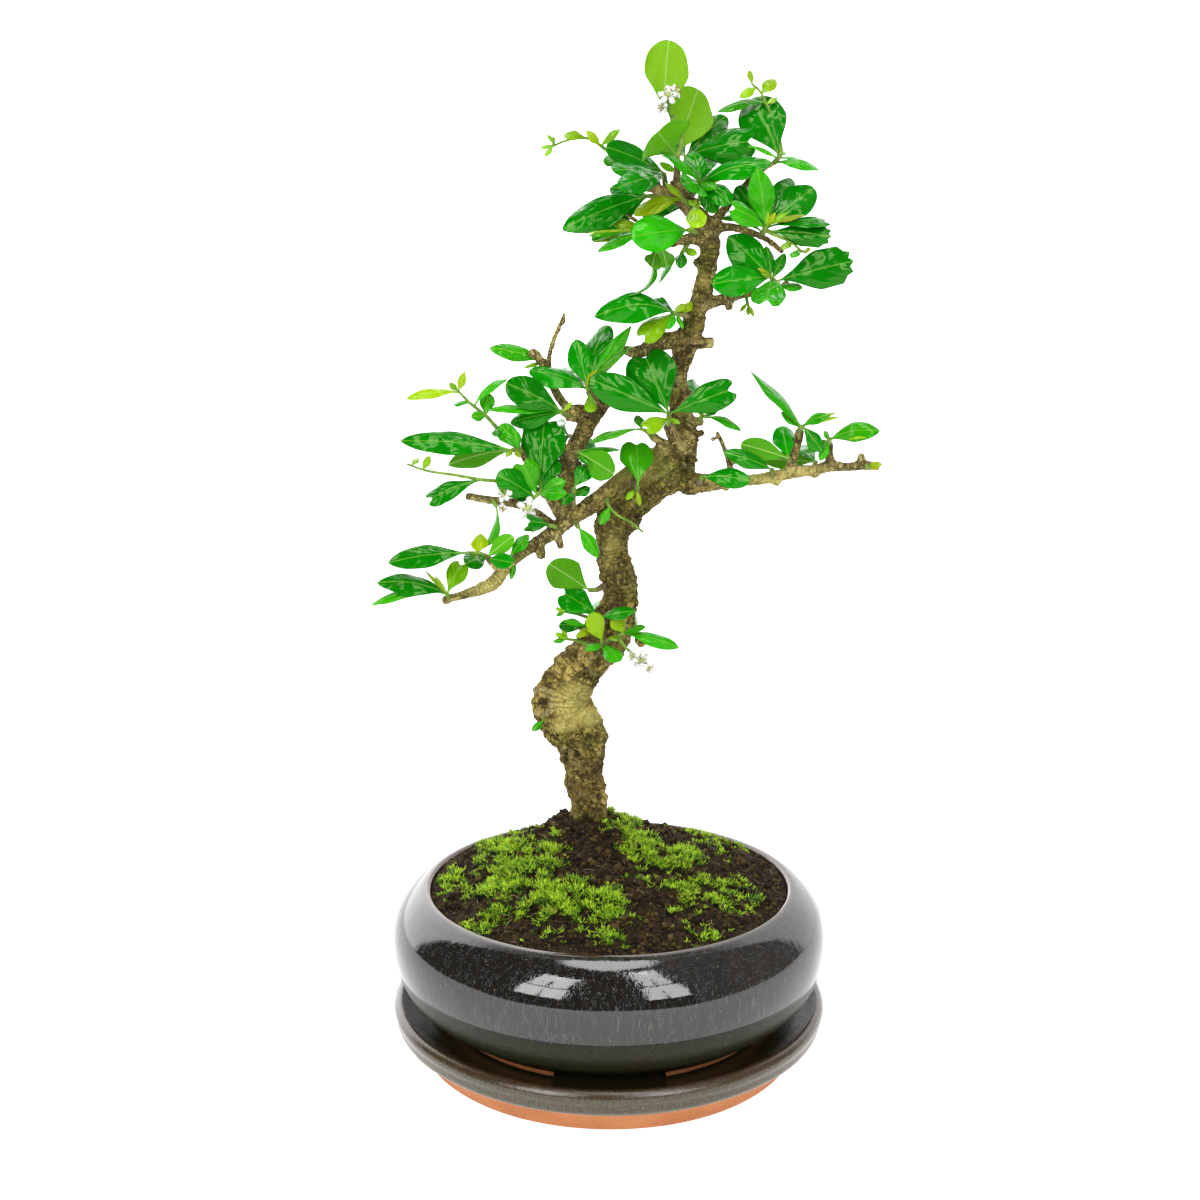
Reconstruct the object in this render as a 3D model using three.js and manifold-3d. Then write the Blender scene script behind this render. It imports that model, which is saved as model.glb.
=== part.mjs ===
// A fukien tea bonsai in its round glazed pot, which stands in a saucer. Millimetres, +Z up.
// The origin is the middle of the saucer's underside, and -Y is the front.
import * as THREE from "three";
import { mergeVertices } from "three/addons/utils/BufferGeometryUtils.js";
import Module from "manifold-3d";

const wasm = await Module();
wasm.setup();

// Driving dimensions of the saucer and the pot
const SEAT_GAP = 0.3;
const ROUND_SIDES = 36;
const SAUCER_FOOT_RADIUS = 84.7;
const SAUCER_LIP_RADIUS = 97.3;
const SAUCER_HEIGHT = 23;
const SAUCER_FLOOR = 14.5;
const POT_FOOT_RADIUS = 73.2;
const POT_FOOT_WIDTH = 9.5;
const POT_FOOT_HEIGHT = 3.7;
const POT_WIDEST_RADIUS = 97.1;
const POT_MOUTH_RADIUS = 79.4;
const POT_RIM_HEIGHT = 73.4;
const POT_FLOOR_THICKNESS = 6.5;
const POT_WALL = 6.5;
const FOOT_NOTCH_WIDTH = 46;
const DRAIN_HOLE_RADIUS = 8;
const DRAIN_HOLE_SIDES = 24;
// Points nearer than this are one point.
const WELD = 1e-4;
// Cutters reach this far past what they cut.
const CUT_PAST = 2;
const DRAIN_MESH_RADIUS = 15;
const DRAIN_MESH_THICKNESS = 1.2;
const DRAIN_MESH_HOLE = 3.2;
const DRAIN_MESH_PITCH = 5;

// Driving dimensions of the soil, the wood and the leaves
const SOIL_RISE = 17;
const SOIL_DOME_POWER = 1.15;
const SOIL_HEAP = 10;
const SOIL_HEAP_SPREAD = 560;
const SOIL_WAVE = 1.1;
const SOIL_WAVE_EAST = 9;
const SOIL_WAVE_NORTH = 8;
const SOIL_EDGE_DROP = 1.6;
const SOIL_EDGE_GAP = 1.2;
const SOIL_RINGS = [0.24, 0.5, 0.76, 1];
const TRUNK_SIDES = 8;
const LIMB_SIDES = 5;
const TWIG_SIDES = 4;
const TWIG_RADIUS = 3;
const SHOOT_SIDES = 3;
const STEM_SWELL = 1.4;
const LEAST_STEM = 1.1;
const BLADE_HALF_THICKNESS = 0.34;
const BLADE_ROOT_HALF_WIDTH = 0.6;
const SMALL_BLADE_LENGTH = 9.5;
const ROOT_PART = 0.2;
const BLADE_PROPORTION = 1.9;
const MOST_LEAN = 15;
const STEEP = 0.45;
const SHOWS_UNDERSIDE = 90;

// Places of branches and leaves are read off the photograph: a pixel of its 1200 x 1200 frame,
// and a depth Y in millimetres. The view's focal length, middle, eye and downward pitch turn
// them into places in space.
const VIEW = { focal: 1397, middle: 600, eye: [-4, -600, 304.2], pitch: 0.17 };

function place(px, py, y) {
  const right = (px - VIEW.middle) / VIEW.focal;
  const up = (VIEW.middle - py) / VIEW.focal;
  const forward = Math.cos(VIEW.pitch) + up * Math.sin(VIEW.pitch);
  const climb = up * Math.cos(VIEW.pitch) - Math.sin(VIEW.pitch);
  const reach = (y - VIEW.eye[1]) / forward;
  return new THREE.Vector3(VIEW.eye[0] + right * reach, y, VIEW.eye[2] + climb * reach);
}

// Solids

function toSolid(geometry) {
  const bare = geometry.index ? geometry.clone() : mergeVertices(geometry.clone(), WELD);
  const vertProperties = new Float32Array(bare.attributes.position.array);
  const triVerts = new Uint32Array(bare.index.array);
  return new wasm.Manifold(new wasm.Mesh({ numProp: 3, vertProperties, triVerts }));
}

function toGeometry(solid) {
  const mesh = solid.getMesh();
  const geometry = new THREE.BufferGeometry();
  geometry.setAttribute("position", new THREE.BufferAttribute(new Float32Array(mesh.vertProperties), 3));
  geometry.setIndex(new THREE.BufferAttribute(new Uint32Array(mesh.triVerts), 1));
  return geometry;
}

function indexed(points, faces) {
  const geometry = new THREE.BufferGeometry();
  const position = new Float32Array(points.flatMap((p) => [p.x, p.y, p.z]));
  geometry.setAttribute("position", new THREE.BufferAttribute(position, 3));
  geometry.setIndex(faces.flat());
  return geometry;
}

function withoutNormals(geometry) {
  geometry.deleteAttribute("normal");
  geometry.deleteAttribute("uv");
  return mergeVertices(geometry, WELD);
}

function joined(solids) {
  return solids.reduce((sum, solid) => sum.add(solid));
}

// A body keeps its largest piece: a scrap that a cut leaves loose is dropped, and so is a sealed hollow.
function largestPiece(solid) {
  const pieces = solid.decompose();
  return pieces.reduce((best, piece) => (piece.volume() > best.volume() ? piece : best));
}

function turned(outline) {
  const profile = outline.map(([radius, z]) => new THREE.Vector2(radius, z));
  const geometry = new THREE.LatheGeometry(profile, ROUND_SIDES);
  geometry.rotateX(Math.PI / 2);
  return toSolid(withoutNormals(geometry));
}

function smoothOutline(points, steps) {
  const curve = new THREE.SplineCurve(points.map(([radius, z]) => new THREE.Vector2(radius, z)));
  return curve.getPoints(steps).map((p) => [p.x, p.y]);
}

function box(width, depth, height, x, y, z) {
  const geometry = new THREE.BoxGeometry(width, depth, height);
  geometry.translate(x, y, z);
  return toSolid(withoutNormals(geometry));
}

function cylinder(radius, height, x, y, z, sides) {
  const geometry = new THREE.CylinderGeometry(radius, radius, height, sides);
  geometry.rotateX(Math.PI / 2);
  geometry.translate(x, y, z);
  return toSolid(withoutNormals(geometry));
}

// The part of a direction along Y above which a bar's first ring is set out from X instead
const NEARLY_ALONG = 0.8;

// A tapering round bar through its points; each point has its own radius. Grow makes it wider, and
// longer at both ends.
function bar(path, radii, sides, grow = 0, swell = () => 1) {
  const points = path.map((point) => point.clone());
  const last = points.length - 1;
  points[0].addScaledVector(path[0].clone().sub(path[1]).normalize(), grow);
  points[last].addScaledVector(path[last].clone().sub(path[last - 1]).normalize(), grow);
  const rings = [];
  const across = new THREE.Vector3();
  for (let i = 0; i < points.length; i++) {
    const before = points[Math.max(i - 1, 0)];
    const after = points[Math.min(i + 1, points.length - 1)];
    const along = after.clone().sub(before).normalize();
    if (i === 0) {
      across.set(0, 1, 0);
      if (Math.abs(along.y) > NEARLY_ALONG) across.set(1, 0, 0);
    }
    across.addScaledVector(along, -across.dot(along)).normalize();
    const other = along.clone().cross(across);
    for (let j = 0; j < sides; j++) {
      const turn = (2 * Math.PI * j) / sides;
      const radius = radii[i] * swell(i, turn) + grow;
      const point = points[i].clone();
      point.addScaledVector(across, radius * Math.cos(turn));
      point.addScaledVector(other, radius * Math.sin(turn));
      rings.push(point);
    }
  }
  const faces = [];
  for (let i = 0; i + 1 < points.length; i++) {
    for (let j = 0; j < sides; j++) {
      const a = i * sides + j;
      const b = i * sides + ((j + 1) % sides);
      faces.push([a, b, b + sides], [a, b + sides, a + sides]);
    }
  }
  const end = last * sides;
  for (let j = 1; j + 1 < sides; j++) {
    faces.push([0, j + 1, j], [end, end + j, end + j + 1]);
  }
  return toSolid(indexed(rings, faces));
}

// A knob or bump is a ball of twenty faces.
function knob(centre, radius) {
  const geometry = new THREE.IcosahedronGeometry(radius, 0);
  geometry.translate(centre.x, centre.y, centre.z);
  return toSolid(withoutNormals(geometry));
}

// The wood. A limb is a list of [px, py, depth Y, radius]; it starts inside the limb that bears it.
const TRUNK = [
  [588, 850, 26, 9.8], [589, 832, 26, 10.2], [589, 818, 25, 9.2], [589, 800, 24, 8.7],
  [587, 785, 24, 8.5], [583, 768, 23, 9.0], [583, 752, 22, 10.4], [580, 740, 21, 11.8],
  [574, 727, 20, 12.6], [568, 715, 19, 13.4], [563, 702, 18, 13.4], [564, 691, 18, 12.2],
  [570, 681, 18, 10.8], [577, 669, 17, 10.6], [585, 660, 17, 10.4], [594, 649, 16, 11.2],
  [605, 635, 16, 10.8], [613, 622, 15, 9.6], [618, 609, 15, 8.8], [621, 592, 15, 8.3],
  [618, 573, 14, 7.6], [612, 556, 14, 7.2], [611, 540, 13, 7.4], [614, 523, 12, 8.9],
  [624, 507, 11, 9.0], [640, 494, 11, 8.6], [656, 483, 11, 9.0], [670, 470, 11, 9.6],
  [679, 455, 11, 8.0], [684, 438, 12, 5.9], [682, 420, 12, 5.0], [680, 398, 12, 4.5],
  [679, 376, 12, 3.8], [683, 353, 11, 4.9], [689, 333, 10, 5.5], [694, 317, 9, 4.7],
  [700, 300, 8, 4.3], [705, 280, 7, 4.0], [708, 262, 6, 4.4], [710, 245, 4, 4.6],
  [707, 230, 3, 4.4], [697, 216, 2, 3.8], [686, 204, 2, 3.5], [679, 192, 2, 3.6], [676, 180, 2, 3.2],
];
const LIMBS = [
  // Left branch, which comes forward over the bend of the trunk
  [[683, 444, 11, 3.9], [668, 450, 8, 4.2], [652, 459, 5, 4.2], [636, 471, 2, 4.4],
    [618, 485, 0, 4.6], [600, 499, -3, 4.2], [585, 509, -5, 3.9], [570, 519, -6, 3.6],
    [555, 531, -7, 3.2], [538, 542, -9, 2.8], [520, 555, -12, 2.5], [505, 570, -14, 2.5],
    [494, 582, -16, 3.4], [484, 588, -17, 3.0], [466, 594, -19, 2.0], [443, 600, -21, 1.7]],
  // Rising branch behind it, its sawn end and its leafy twig
  [[566, 522, -6, 3.2], [562, 502, -3, 3.8], [566, 484, 0, 4.0], [567, 466, 2, 4.2],
    [577, 444, 5, 4.0], [587, 425, 7, 4.1], [599, 408, 9, 3.8], [607, 399, 10, 3.3]],
  [[592, 414, 8, 3.6], [579, 413, 5, 3.9], [567, 414, 3, 3.6]],
  [[599, 409, 9, 2.4], [594, 399, 7, 1.9], [588, 391, 5, 1.6]],
  [[561, 446, 1, 2.4], [569, 458, -1, 2.6], [580, 470, 0, 2.3]],
  [[572, 413, 4, 2.2], [558, 396, 5, 2.0], [545, 368, 5, 1.9], [534, 352, 4, 2.2]],
  [[551, 378, 5, 1.3], [549, 360, 5, 1.2], [553, 342, 4, 1.2], [561, 323, 3, 1.0], [565, 313, 3, 0.8]],
  // Short limb to the left of the upper trunk
  [[688, 343, 10, 4.2], [668, 341, 7, 3.9], [652, 346, 5, 3.3], [636, 352, 3, 2.6], [624, 350, 2, 2.0]],
  // Hidden limb that carries the left heads of leaves, and the bare twig beside it
  [[560, 515, -4, 2.7], [549, 496, -5, 2.3], [536, 474, -6, 2.0], [520, 451, -7, 1.6]],
  [[552, 524, -7, 2.0], [532, 510, -9, 1.8], [512, 503, -11, 2.1], [490, 500, -13, 1.8],
    [466, 496, -15, 1.7]],
  // Right branch and its upright twigs
  [[684, 482, 10, 5.6], [704, 483, 7, 4.0], [726, 481, 5, 3.4], [749, 480, 3, 2.5],
    [773, 477, 1, 2.7], [795, 472, -1, 2.7], [815, 470, -2, 2.5], [833, 466, -3, 2.5],
    [848, 467, -4, 1.9], [862, 465, -5, 2.3], [879, 467, -6, 1.6]],
  [[731, 472, 5, 1.5], [727, 456, 6, 1.3], [722, 443, 7, 1.1], [717, 432, 8, 0.9]],
  [[791, 473, -1, 2.4], [793, 460, -2, 1.9], [797, 445, -3, 1.9], [800, 430, -4, 2.0]],
  [[832, 467, -3, 2.1], [829, 454, -2, 1.9], [829, 442, -2, 2.0]],
  [[861, 466, -5, 1.9], [861, 455, -5, 1.7]],
  // Crown branches
  [[708, 241, 4, 3.4], [692, 239, 2, 2.7], [674, 242, -1, 2.2], [655, 249, -4, 1.5]],
  [[665, 246, -3, 1.3], [652, 234, -1, 1.1], [640, 224, 0, 1.0], [617, 207, -2, 0.9]],
  [[685, 201, 2, 2.8], [669, 194, -1, 2.6], [657, 189, -3, 2.4], [645, 185, -4, 2.3]],
  [[680, 194, 2, 1.8], [689, 199, 3, 1.7], [698, 203, 5, 1.5]],
  [[707, 233, 3, 2.6], [728, 227, 2, 1.9], [746, 231, 0, 1.6], [766, 239, -2, 1.4], [783, 252, -3, 1.1]],
  [[710, 227, 3, 2.6], [722, 212, 1, 2.0], [737, 194, 0, 1.6], [755, 176, -1, 1.3], [779, 159, -2, 1.0]],
  [[703, 305, 8, 3.2], [713, 302, 7, 2.7], [729, 298, 4, 2.3], [746, 293, 1, 2.0],
    [764, 292, -2, 1.6], [777, 290, -4, 1.4], [788, 281, -5, 1.1]],
  [[727, 299, 4, 1.8], [730, 309, 3, 1.7]],
  [[690, 343, 10, 2.8], [703, 343, 8, 2.6], [713, 343, 7, 2.3]],
  // Sawn stubs on the trunk
  [[682, 441, 9, 3.4], [672, 434, 3, 2.8], [668, 424, -1, 2.6]],
  [[668, 447, 8, 2.2], [652, 436, 3, 1.8]],
  [[686, 421, 12, 2.4], [702, 421, 11, 2.0]],
  [[557, 530, -7, 1.8], [561, 548, -8, 1.5]],
  [[540, 541, -9, 2.1], [541, 558, -10, 2.0]],
  [[506, 569, -14, 1.9], [496, 566, -15, 2.1], [487, 557, -16, 1.6]],
];
// Flutes round the trunk, as parts of its radius, which wind up it by their drift from ring to ring
const TRUNK_FLUTES = [{ size: 0.06, lobes: 3, drift: 0.9 }, { size: 0.04, lobes: 2, drift: -1.7 }];
// Knobs and scar rims: [px, py, depth Y, radius]
const KNOBS = [
  [541, 702, 18, 5.2], [598, 664, 10, 4.6], [602, 798, 20, 3.6], [604, 577, 11, 3.6], [640, 640, 13, 3.6],
  [700, 422, 11, 2.4], [733, 461, 4, 2.3], [791, 466, -2, 2.9], [861, 457, -5, 2.3], [533, 353, 4, 2.7],
  [489, 500, -13, 2.5], [446, 601, -21, 2.3],
];
// Surface roots round the foot: how far each runs, east and north of the foot, and its radius
const TRUNK_FOOT = { px: 589, py: 826, depth: 26 };
const SURFACE_ROOTS = [
  { east: -31, north: -7, radius: 3.4 }, { east: -16, north: -22, radius: 3.8 },
  { east: 13, north: -17, radius: 4.0 }, { east: 24, north: 5, radius: 3.4 },
  { east: 3, north: 21, radius: 3.6 }, { east: -20, north: 14, radius: 3.2 },
];
// Along a root: the part of its run, how far it has dropped, and the part of its radius
const ROOT_RUN = [[0.05, -5, 1.25], [0.35, 1, 1], [0.7, 5, 0.8], [1, 12, 0.5]];

// Outline of half a blade: along the blade, and out from the midrib as a part of the half width.
const BLADES = {
  t: { edge: [[0, 0], [0.3, 0.42], [0.6, 0.92], [0.86, 0.94], [0.9, 0.62], [0.975, 0.5], [0.945, 0.22]],
    apex: 1, spine: [0.35], cup: 0.22 },
  h: { edge: [[0, 0], [0.3, 0.45], [0.65, 1], [0.93, 0.8], [1, 0.4]], apex: 0.9, spine: [0.35], cup: 0.26 },
  r: { edge: [[0, 0], [0.25, 0.5], [0.6, 1], [0.91, 0.7]], apex: 1, spine: [0.35], cup: 0.24 },
  e: { edge: [[0, 0], [0.35, 0.7], [0.74, 0.92]], apex: 1, spine: [0.35], cup: 0.3 },
  n: { edge: [[0, 0], [0.5, 1]], apex: 1, spine: [0.5], cup: 0.35 },
  s: { edge: [[0, 0], [0.55, 1]], apex: 1, spine: [0.45], cup: 0.3 },
};
const GREENS = {
  deep: { color: 0x1e6f14, roughness: 0.32 }, mid: { color: 0x4c9a16, roughness: 0.4 },
  young: { color: 0x8cc51b, roughness: 0.45 },
};
// A crossing smaller than this counts as clear. Then the steps in depth by which a leaf's tip is bent
// clear of what it would cross, in the order that they are tried.
const CLEAR_VOLUME = 0.01;
const TIP_STEPS = [0, -3, 3, -6, 6, -9, 9, -12, 12, -16, 16, -20, 20, -25, 25, -31, 31];

// Leafy shoots: name, green, stem [px, py, depth Y, radius], and its leaves as
// [base px, base py, tip px, tip py, tip depth Y, width, roll, arch, kind].
// Roll 0 turns the upper face to the front, 90 to the sky and 180 away. Arch lifts the middle.
// The kind is the blade's outline, and a last number, where there is one, its twist.
const SHOOTS = [
  ["shoot_crown_top", "mid", [[[677, 186, 2, 1.9], [677, 172, 0, 1.5], [677, 160, -1, 1.2],
    [682, 142, 1, 0.9], [673, 115, 0, 0.7]],
    [[674, 122, 0, 0.7], [669, 112, -3, 0.6], [668, 97, -6.5, 0.55]],
    [[669, 112, -3, 0.6], [664, 108, -6.5, 0.5]]], [
    [665, 109, 669, 40, -2, 19, 168, 3, "r"], [688, 152, 698, 89, 7, 21, 164, 2.5, "r"],
    [686, 160, 657, 131, -24, 24, 180, 3, "h"]]],
  ["shoot_crown_hub", "mid", [[[688, 199, 3, 1.4], [695, 191, -1, 1.2], [700, 183, -4, 1.0]]], [
    [699, 183, 661, 152, -10, 7, 62, 2, "e"], [698, 181, 693, 152, -9, 9, 20, 1.5, "r"],
    [702, 180, 712, 154, -5, 8, 25, 1.5, "r"], [698, 184, 682, 184, -14, 9, 40, 1.5, "r"],
    [700, 186, 701, 196, -12, 7, 35, 1, "r"], [703, 181, 772, 163, -12, 12, 42, 3.5, "e"],
    [704, 183, 731, 204, -2, 10, 30, 2, "r"], [702, 187, 716, 213, 0, 8, 25, 1.5, "r"]]],
  ["shoot_crown_fan", "deep", [[[684, 196, 3, 1.3], [684, 176, 7, 1.1], [686, 156, 9, 0.9]]], [
    [688, 149, 756, 141, 8, 16, 28, 2.5, "h"], [687, 151, 726, 116, 20, 11, 20, 2, "r"],
    [685, 157, 668, 146, 30, 12, 30, 2, "r"]]],
  ["shoot_right_top", "deep", [[[774, 163, -2, 1.1], [779, 157, -4, 1.0], [776, 130, 1, 0.7],
    [766, 103, 2, 0.6], [759, 90, 2, 0.5], [752, 84, 1, 0.45]]], [
    [777, 156, 752, 98, -10, 20, 12, 3, "r"], [762, 104, 717, 112, 6, 7, 58, 2, "e"],
    [782, 161, 816, 167, 6, 6, 70, 1.5, "e"], [766, 170, 819, 170, -2, 7.5, 60, 2, "e"]]],
  ["shoot_right_crown", "mid", [[[760, 237, -2, 1.3], [764, 231, -6, 1.2], [767, 226, -8, 1.0]],
    [[765, 230, -6, 1.0], [778, 236, -8, 0.8], [791, 242, -10, 0.6], [802, 252, -12, 0.5]]], [
    [764, 226, 757, 168, -14, 11, 8, 2.5, "e"], [772, 219, 814, 188, -12, 14, 14, 2, "r"],
    [760, 226, 730, 207, -18, 10, 35, 2, "h"], [756, 229, 728, 211, -10, 5, 50, 1.5, "e"],
    [761, 222, 708, 219, -2, 5.2, 66, 2.5, "n"], [768, 224, 805, 215, -12, 4.2, 58, 1.2, "e"],
    [766, 228, 831, 222, -14, 9, 62, 2, "h"], [768, 230, 832, 237, -18, 10.5, 22, 1.5, "t"],
    [770, 222, 795, 205, 14, 11, 24, 2, "r"], [794, 245, 822, 241, -13, 3.8, 45, 1, "e"],
    [758, 226, 737, 186, -2, 11, 20, 2, "r"], [772, 218, 790, 178, 6, 10, 14, 2, "r"]]],
  ["shoot_right_low", "deep", [[[780, 288, -5, 1.3], [775, 282, -8, 1.1], [771, 277, -9, 1.0]]], [
    [769, 274, 728, 236, -16, 15, 14, 2, "e"], [769, 279, 712, 284, -15, 13, 12, 2.5, "r"],
    [771, 281, 766, 305, -20, 14, 12, 2, "h"], [778, 279, 854, 261, -16, 16.5, 10, 2.5, "t"],
    [784, 281, 803, 288, -9, 4.4, 30, 0.8, "s"], [776, 276, 785, 253, -4, 5, 10, 1, "s"],
    [773, 274, 766, 246, -4, 5.4, 24, 1.2, "e"], [773, 275, 745, 258, 15, 12, 30, 2, "r"]]],
  ["shoot_crown_centre", "young", [[[704, 222, 0, 1.2], [700, 214, -5, 1.0], [694, 207, -9, 0.9]]], [
    [694, 207, 698, 228, -13, 8.6, 5, 1.6, "r"]]],
  ["shoot_crown_left", "mid", [[[700, 234, 1, 1.3], [693, 231, -3, 1.1], [688, 230, -5, 1.0]]], [
    [688, 230, 631, 237, -12, 15, 14, 2.5, "r"]]],
  ["shoot_crown_back", "deep", [[[667, 193, 0, 1.4], [665, 182, 3, 1.2], [664, 173, 2, 1.0]]], [
    [664, 172, 606, 147, 6, 12, 30, 2, "r"], [663, 175, 612, 170, -2, 10, 44, 1.5, "r"],
    [667, 176, 618, 188, -10, 10, 26, 2.5, "r"]]],
  ["shoot_crown_yellow", "mid", [[[690, 206, -1, 1.2], [687, 202, -4, 1.0], [682, 199, -6, 0.9]]], [
    [683, 199, 634, 215, -11, 7.8, 36, 3, "r"]]],
  ["shoot_crown_dark", "deep", [[[664, 191, -3, 1.2], [655, 196, -1, 1.1], [648, 196, 1, 1.0]]], [
    [648, 196, 562, 230, -2, 14, 22, 3.5, "e"], [648, 197, 591, 241, 6, 9.5, 30, 2, "e"],
    [646, 196, 610, 188, 8, 9, 40, 1.5, "r"], [649, 197, 604, 213, 26, 11, 24, 2.5, "r"]]],
  ["shoot_crown_long", "mid", [[[659, 188, -2, 1.2], [656, 178, 1, 1.0], [640, 170, 8, 0.9],
    [620, 162, 6, 0.8],
    [611, 154, 3, 0.8], [601, 146, 1, 0.7], [590, 139, -1, 0.65], [578, 138, -3, 0.6],
    [565, 141, -4, 0.5], [553, 146, -5, 0.45]]], [
    [586, 138, 564, 137, -6, 5.4, 48, 2, "r"], [602, 145, 621, 129, -2, 4.2, 30, 1.2, "n"]]],
  ["shoot_crown_side", "mid", [[[660, 243, -3, 1.2], [651, 238, -7, 1.0], [643, 233, -8, 0.9]]], [
    [643, 233, 597, 252, -12, 5.2, 36, 1.5, "e"], [642, 231, 588, 236, -6, 4.4, 50, 1.5, "e"],
    [645, 235, 590, 243, -2, 3.8, 50, 1, "n"], [644, 229, 610, 218, 4, 6, 30, 1, "s"]]],
  ["shoot_crown_hang", "mid", [[[668, 244, -1, 1.2], [660, 250, -5, 1.0], [651, 247, -8, 0.8]]], [
    [650, 247, 628, 296, -14, 7, 66, -6, "e"]]],
  ["shoot_crown_under", "deep", [[[688, 242, 1, 1.3], [684, 250, -3, 1.0], [681, 254, -4, 0.8]]], [
    [679, 254, 659, 284, -6, 4.4, 62, 1.5, "e"]]],
  ["shoot_mid_left", "deep", [[[688, 316, 4, 1.4], [680, 314, 0, 1.2], [673, 313, -2, 1.0]]], [
    [672, 312, 594, 317, -12, 14, 30, 8, "e"], [672, 314, 641, 339, -9, 10, 20, 1.5, "h"],
    [676, 312, 640, 305, 18, 11, 36, 2.5, "r"]]],
  ["shoot_heart", "deep", [[[668, 427, -2, 1.6], [669, 419, -5, 1.3], [669, 414, -6, 1.1]]], [
    [668, 413, 643, 352, -12, 22, 8, 2.5, "h"], [665, 414, 589, 379, -9, 14.5, 10, 2.5, "r"],
    [674, 414, 735, 388, -12, 13, 8, 2, "h"], [665, 418, 644, 429, -11, 7.5, 20, 1, "h"]]],
  ["shoot_mid_top", "deep", [[[593, 397, 5, 1.3], [589, 391, 1, 1.1], [587, 386, -1, 0.9]]], [
    [586, 386, 576, 339, -4, 11.4, 6, 1.5, "e"], [584, 384, 607, 325, 12, 13, 32, 3, "r"],
    [592, 385, 632, 325, 5, 7.4, 8, 0.8, "n"], [597, 381, 634, 346, 3, 5, 50, 2, "n"],
    [590, 392, 591, 413, -6, 5.4, 5, 0.6, "t"], [585, 392, 529, 371, 1, 13, 46, 3, "r"],
    [589, 387, 566, 366, 26, 12, 30, 2, "r"]]],
  ["shoot_mid_front", "mid", [[[570, 416, 2, 1.2], [564, 414, -4, 1.1], [561, 411, -6, 1.0]]], [
    [561, 411, 506, 383, -12, 14, 16, 2.5, "r"], [560, 413, 488, 410, -10, 6.4, 48, 2, "e"],
    [560, 415, 510, 423, 0, 9.5, 20, 2, "e"]]],
  ["shoot_twig_left", "mid", [[[545, 365, 5, 1.0], [544, 361, 8, 0.8]]], [
    [543, 360, 489, 348, 4, 8, 24, 2.5, "e"]]],
  ["shoot_mid_olive", "mid", [[[652, 437, 2, 1.1], [646, 431, -3, 0.9], [641, 429, -5, 0.8]]], [
    [641, 430, 590, 443, -10, 5.6, 50, 2, "e"]]],
  ["shoot_mid_low", "mid", [[[632, 474, -1, 1.6], [636, 491, -8, 1.2], [638, 486, -11, 1.0]]], [
    [638, 485, 636, 441, -14, 14.4, 6, 1.8, "h"]]],
  ["shoot_behind", "mid", [[[572, 455, 0, 1.5], [578, 452, -4, 1.2]]], [
    [579, 452, 614, 474, -7, 12.5, 170, 1.5, "r"], [580, 449, 621, 450, -2, 4.6, 60, 1.2, "e"]]],
  ["shoot_front_low", "deep", [[[573, 510, -7, 1.5], [573, 497, -12, 1.2], [574, 488, -13, 1.0]]], [
    [574, 487, 590, 464, -14, 8, 16, 1.2, "r"]]],
  ["shoot_left_head", "deep", [[[549, 497, -7, 1.5], [543, 494, -11, 1.3], [540, 490, -12, 1.1]],
    [[541, 492, -12, 0.9], [532, 500, -13, 0.7], [528, 507, -14.6, 0.6]]], [
    [541, 489, 545, 418, -15, 19, 8, 3, "t"], [535, 493, 521, 461, -18, 12, 6, 1.2, "h"],
    [540, 493, 566, 481, -17, 7, 20, 1.5, "e"], [540, 495, 567, 494, -20, 6.5, 30, 1.2, "e"],
    [534, 496, 497, 474, -6, 12, 12, 1.5, "r"], [533, 496, 512, 494, -12, 7, 20, 1, "s"],
    [542, 490, 553, 455, 10, 12, 24, 2, "r"]]],
  ["shoot_left_spur", "deep", [[[523, 453, -8, 1.3], [517, 450, -12, 1.1], [512, 450, -13, 1.0]]], [
    [511, 449, 400, 441, -18, 10.8, 26, 3, "e"], [512, 453, 448, 465, -13, 9.4, 158, 3.5, "e"],
    [517, 449, 501, 424, -14, 8.6, 14, 1.2, "r"], [518, 449, 515, 430, -16, 4.6, 14, 0.8, "s"]]],
  ["shoot_left_rising", "young", [[[521, 452, -6.8, 1.2], [516, 444, -5, 1.1], [508, 438, -4, 1.0],
    [498, 429, -6, 0.9],
    [486, 416, -8, 0.8], [470, 403, -10, 0.65], [458, 391, -12, 0.5]]], [
    [459, 393, 406, 399, -16, 5.2, 34, 2.5, "e"], [488, 414, 488, 393, -12, 6.6, 8, 0.8, "r"],
    [477, 403, 508, 379, -5, 5, 46, 3, "e"]]],
  ["shoot_left_thin", "young", [[[546, 491, -5.2, 1.2], [535, 489, -9.5, 1.1], [518, 483, -12, 0.9],
    [498, 481, -15, 0.8],
    [484, 480, -17, 0.75], [455, 475, -19, 0.6], [424, 470, -20, 0.5], [407, 464, -20, 0.4]]], [
    [482, 480, 427, 501, -22, 9.5, 34, 2, "h"]]],
  ["shoot_left_hang", "mid", [[[492, 499, -14, 1.2], [496, 506, -17, 0.9]]], [
    [496, 507, 483, 548, -15, 6, 56, -3, "e"]]],
  ["shoot_left_under", "mid", [[[559, 528, -7, 1.3], [553, 526, -11, 1.0], [549, 525, -12, 0.9]]], [
    [548, 525, 527, 521, -16, 7, 24, 1, "h"]]],
  ["shoot_low_leaf", "mid", [[[574, 518, -7, 1.4], [578, 527, -12, 1.1]]], [
    [579, 528, 598, 558, -16, 7, 30, 1.5, "e"]]],
  ["shoot_low_under", "mid", [[[605, 585, 11, 1.5], [595, 590, 5, 1.2], [589, 590, 3, 1.0]]], [
    [588, 590, 549, 564, -6, 15, 172, 2, "r"]]],
  ["peduncle_low", "young", [[[611, 492, -1, 1.2], [607, 502, -7, 0.8], [616, 514, -10, 0.6],
    [630, 522, -11, 0.55], [643, 532, -12, 0.5]]], [
    [610, 507, 600, 525, -11, 4.6, 20, 0.8, "s"]]],
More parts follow.
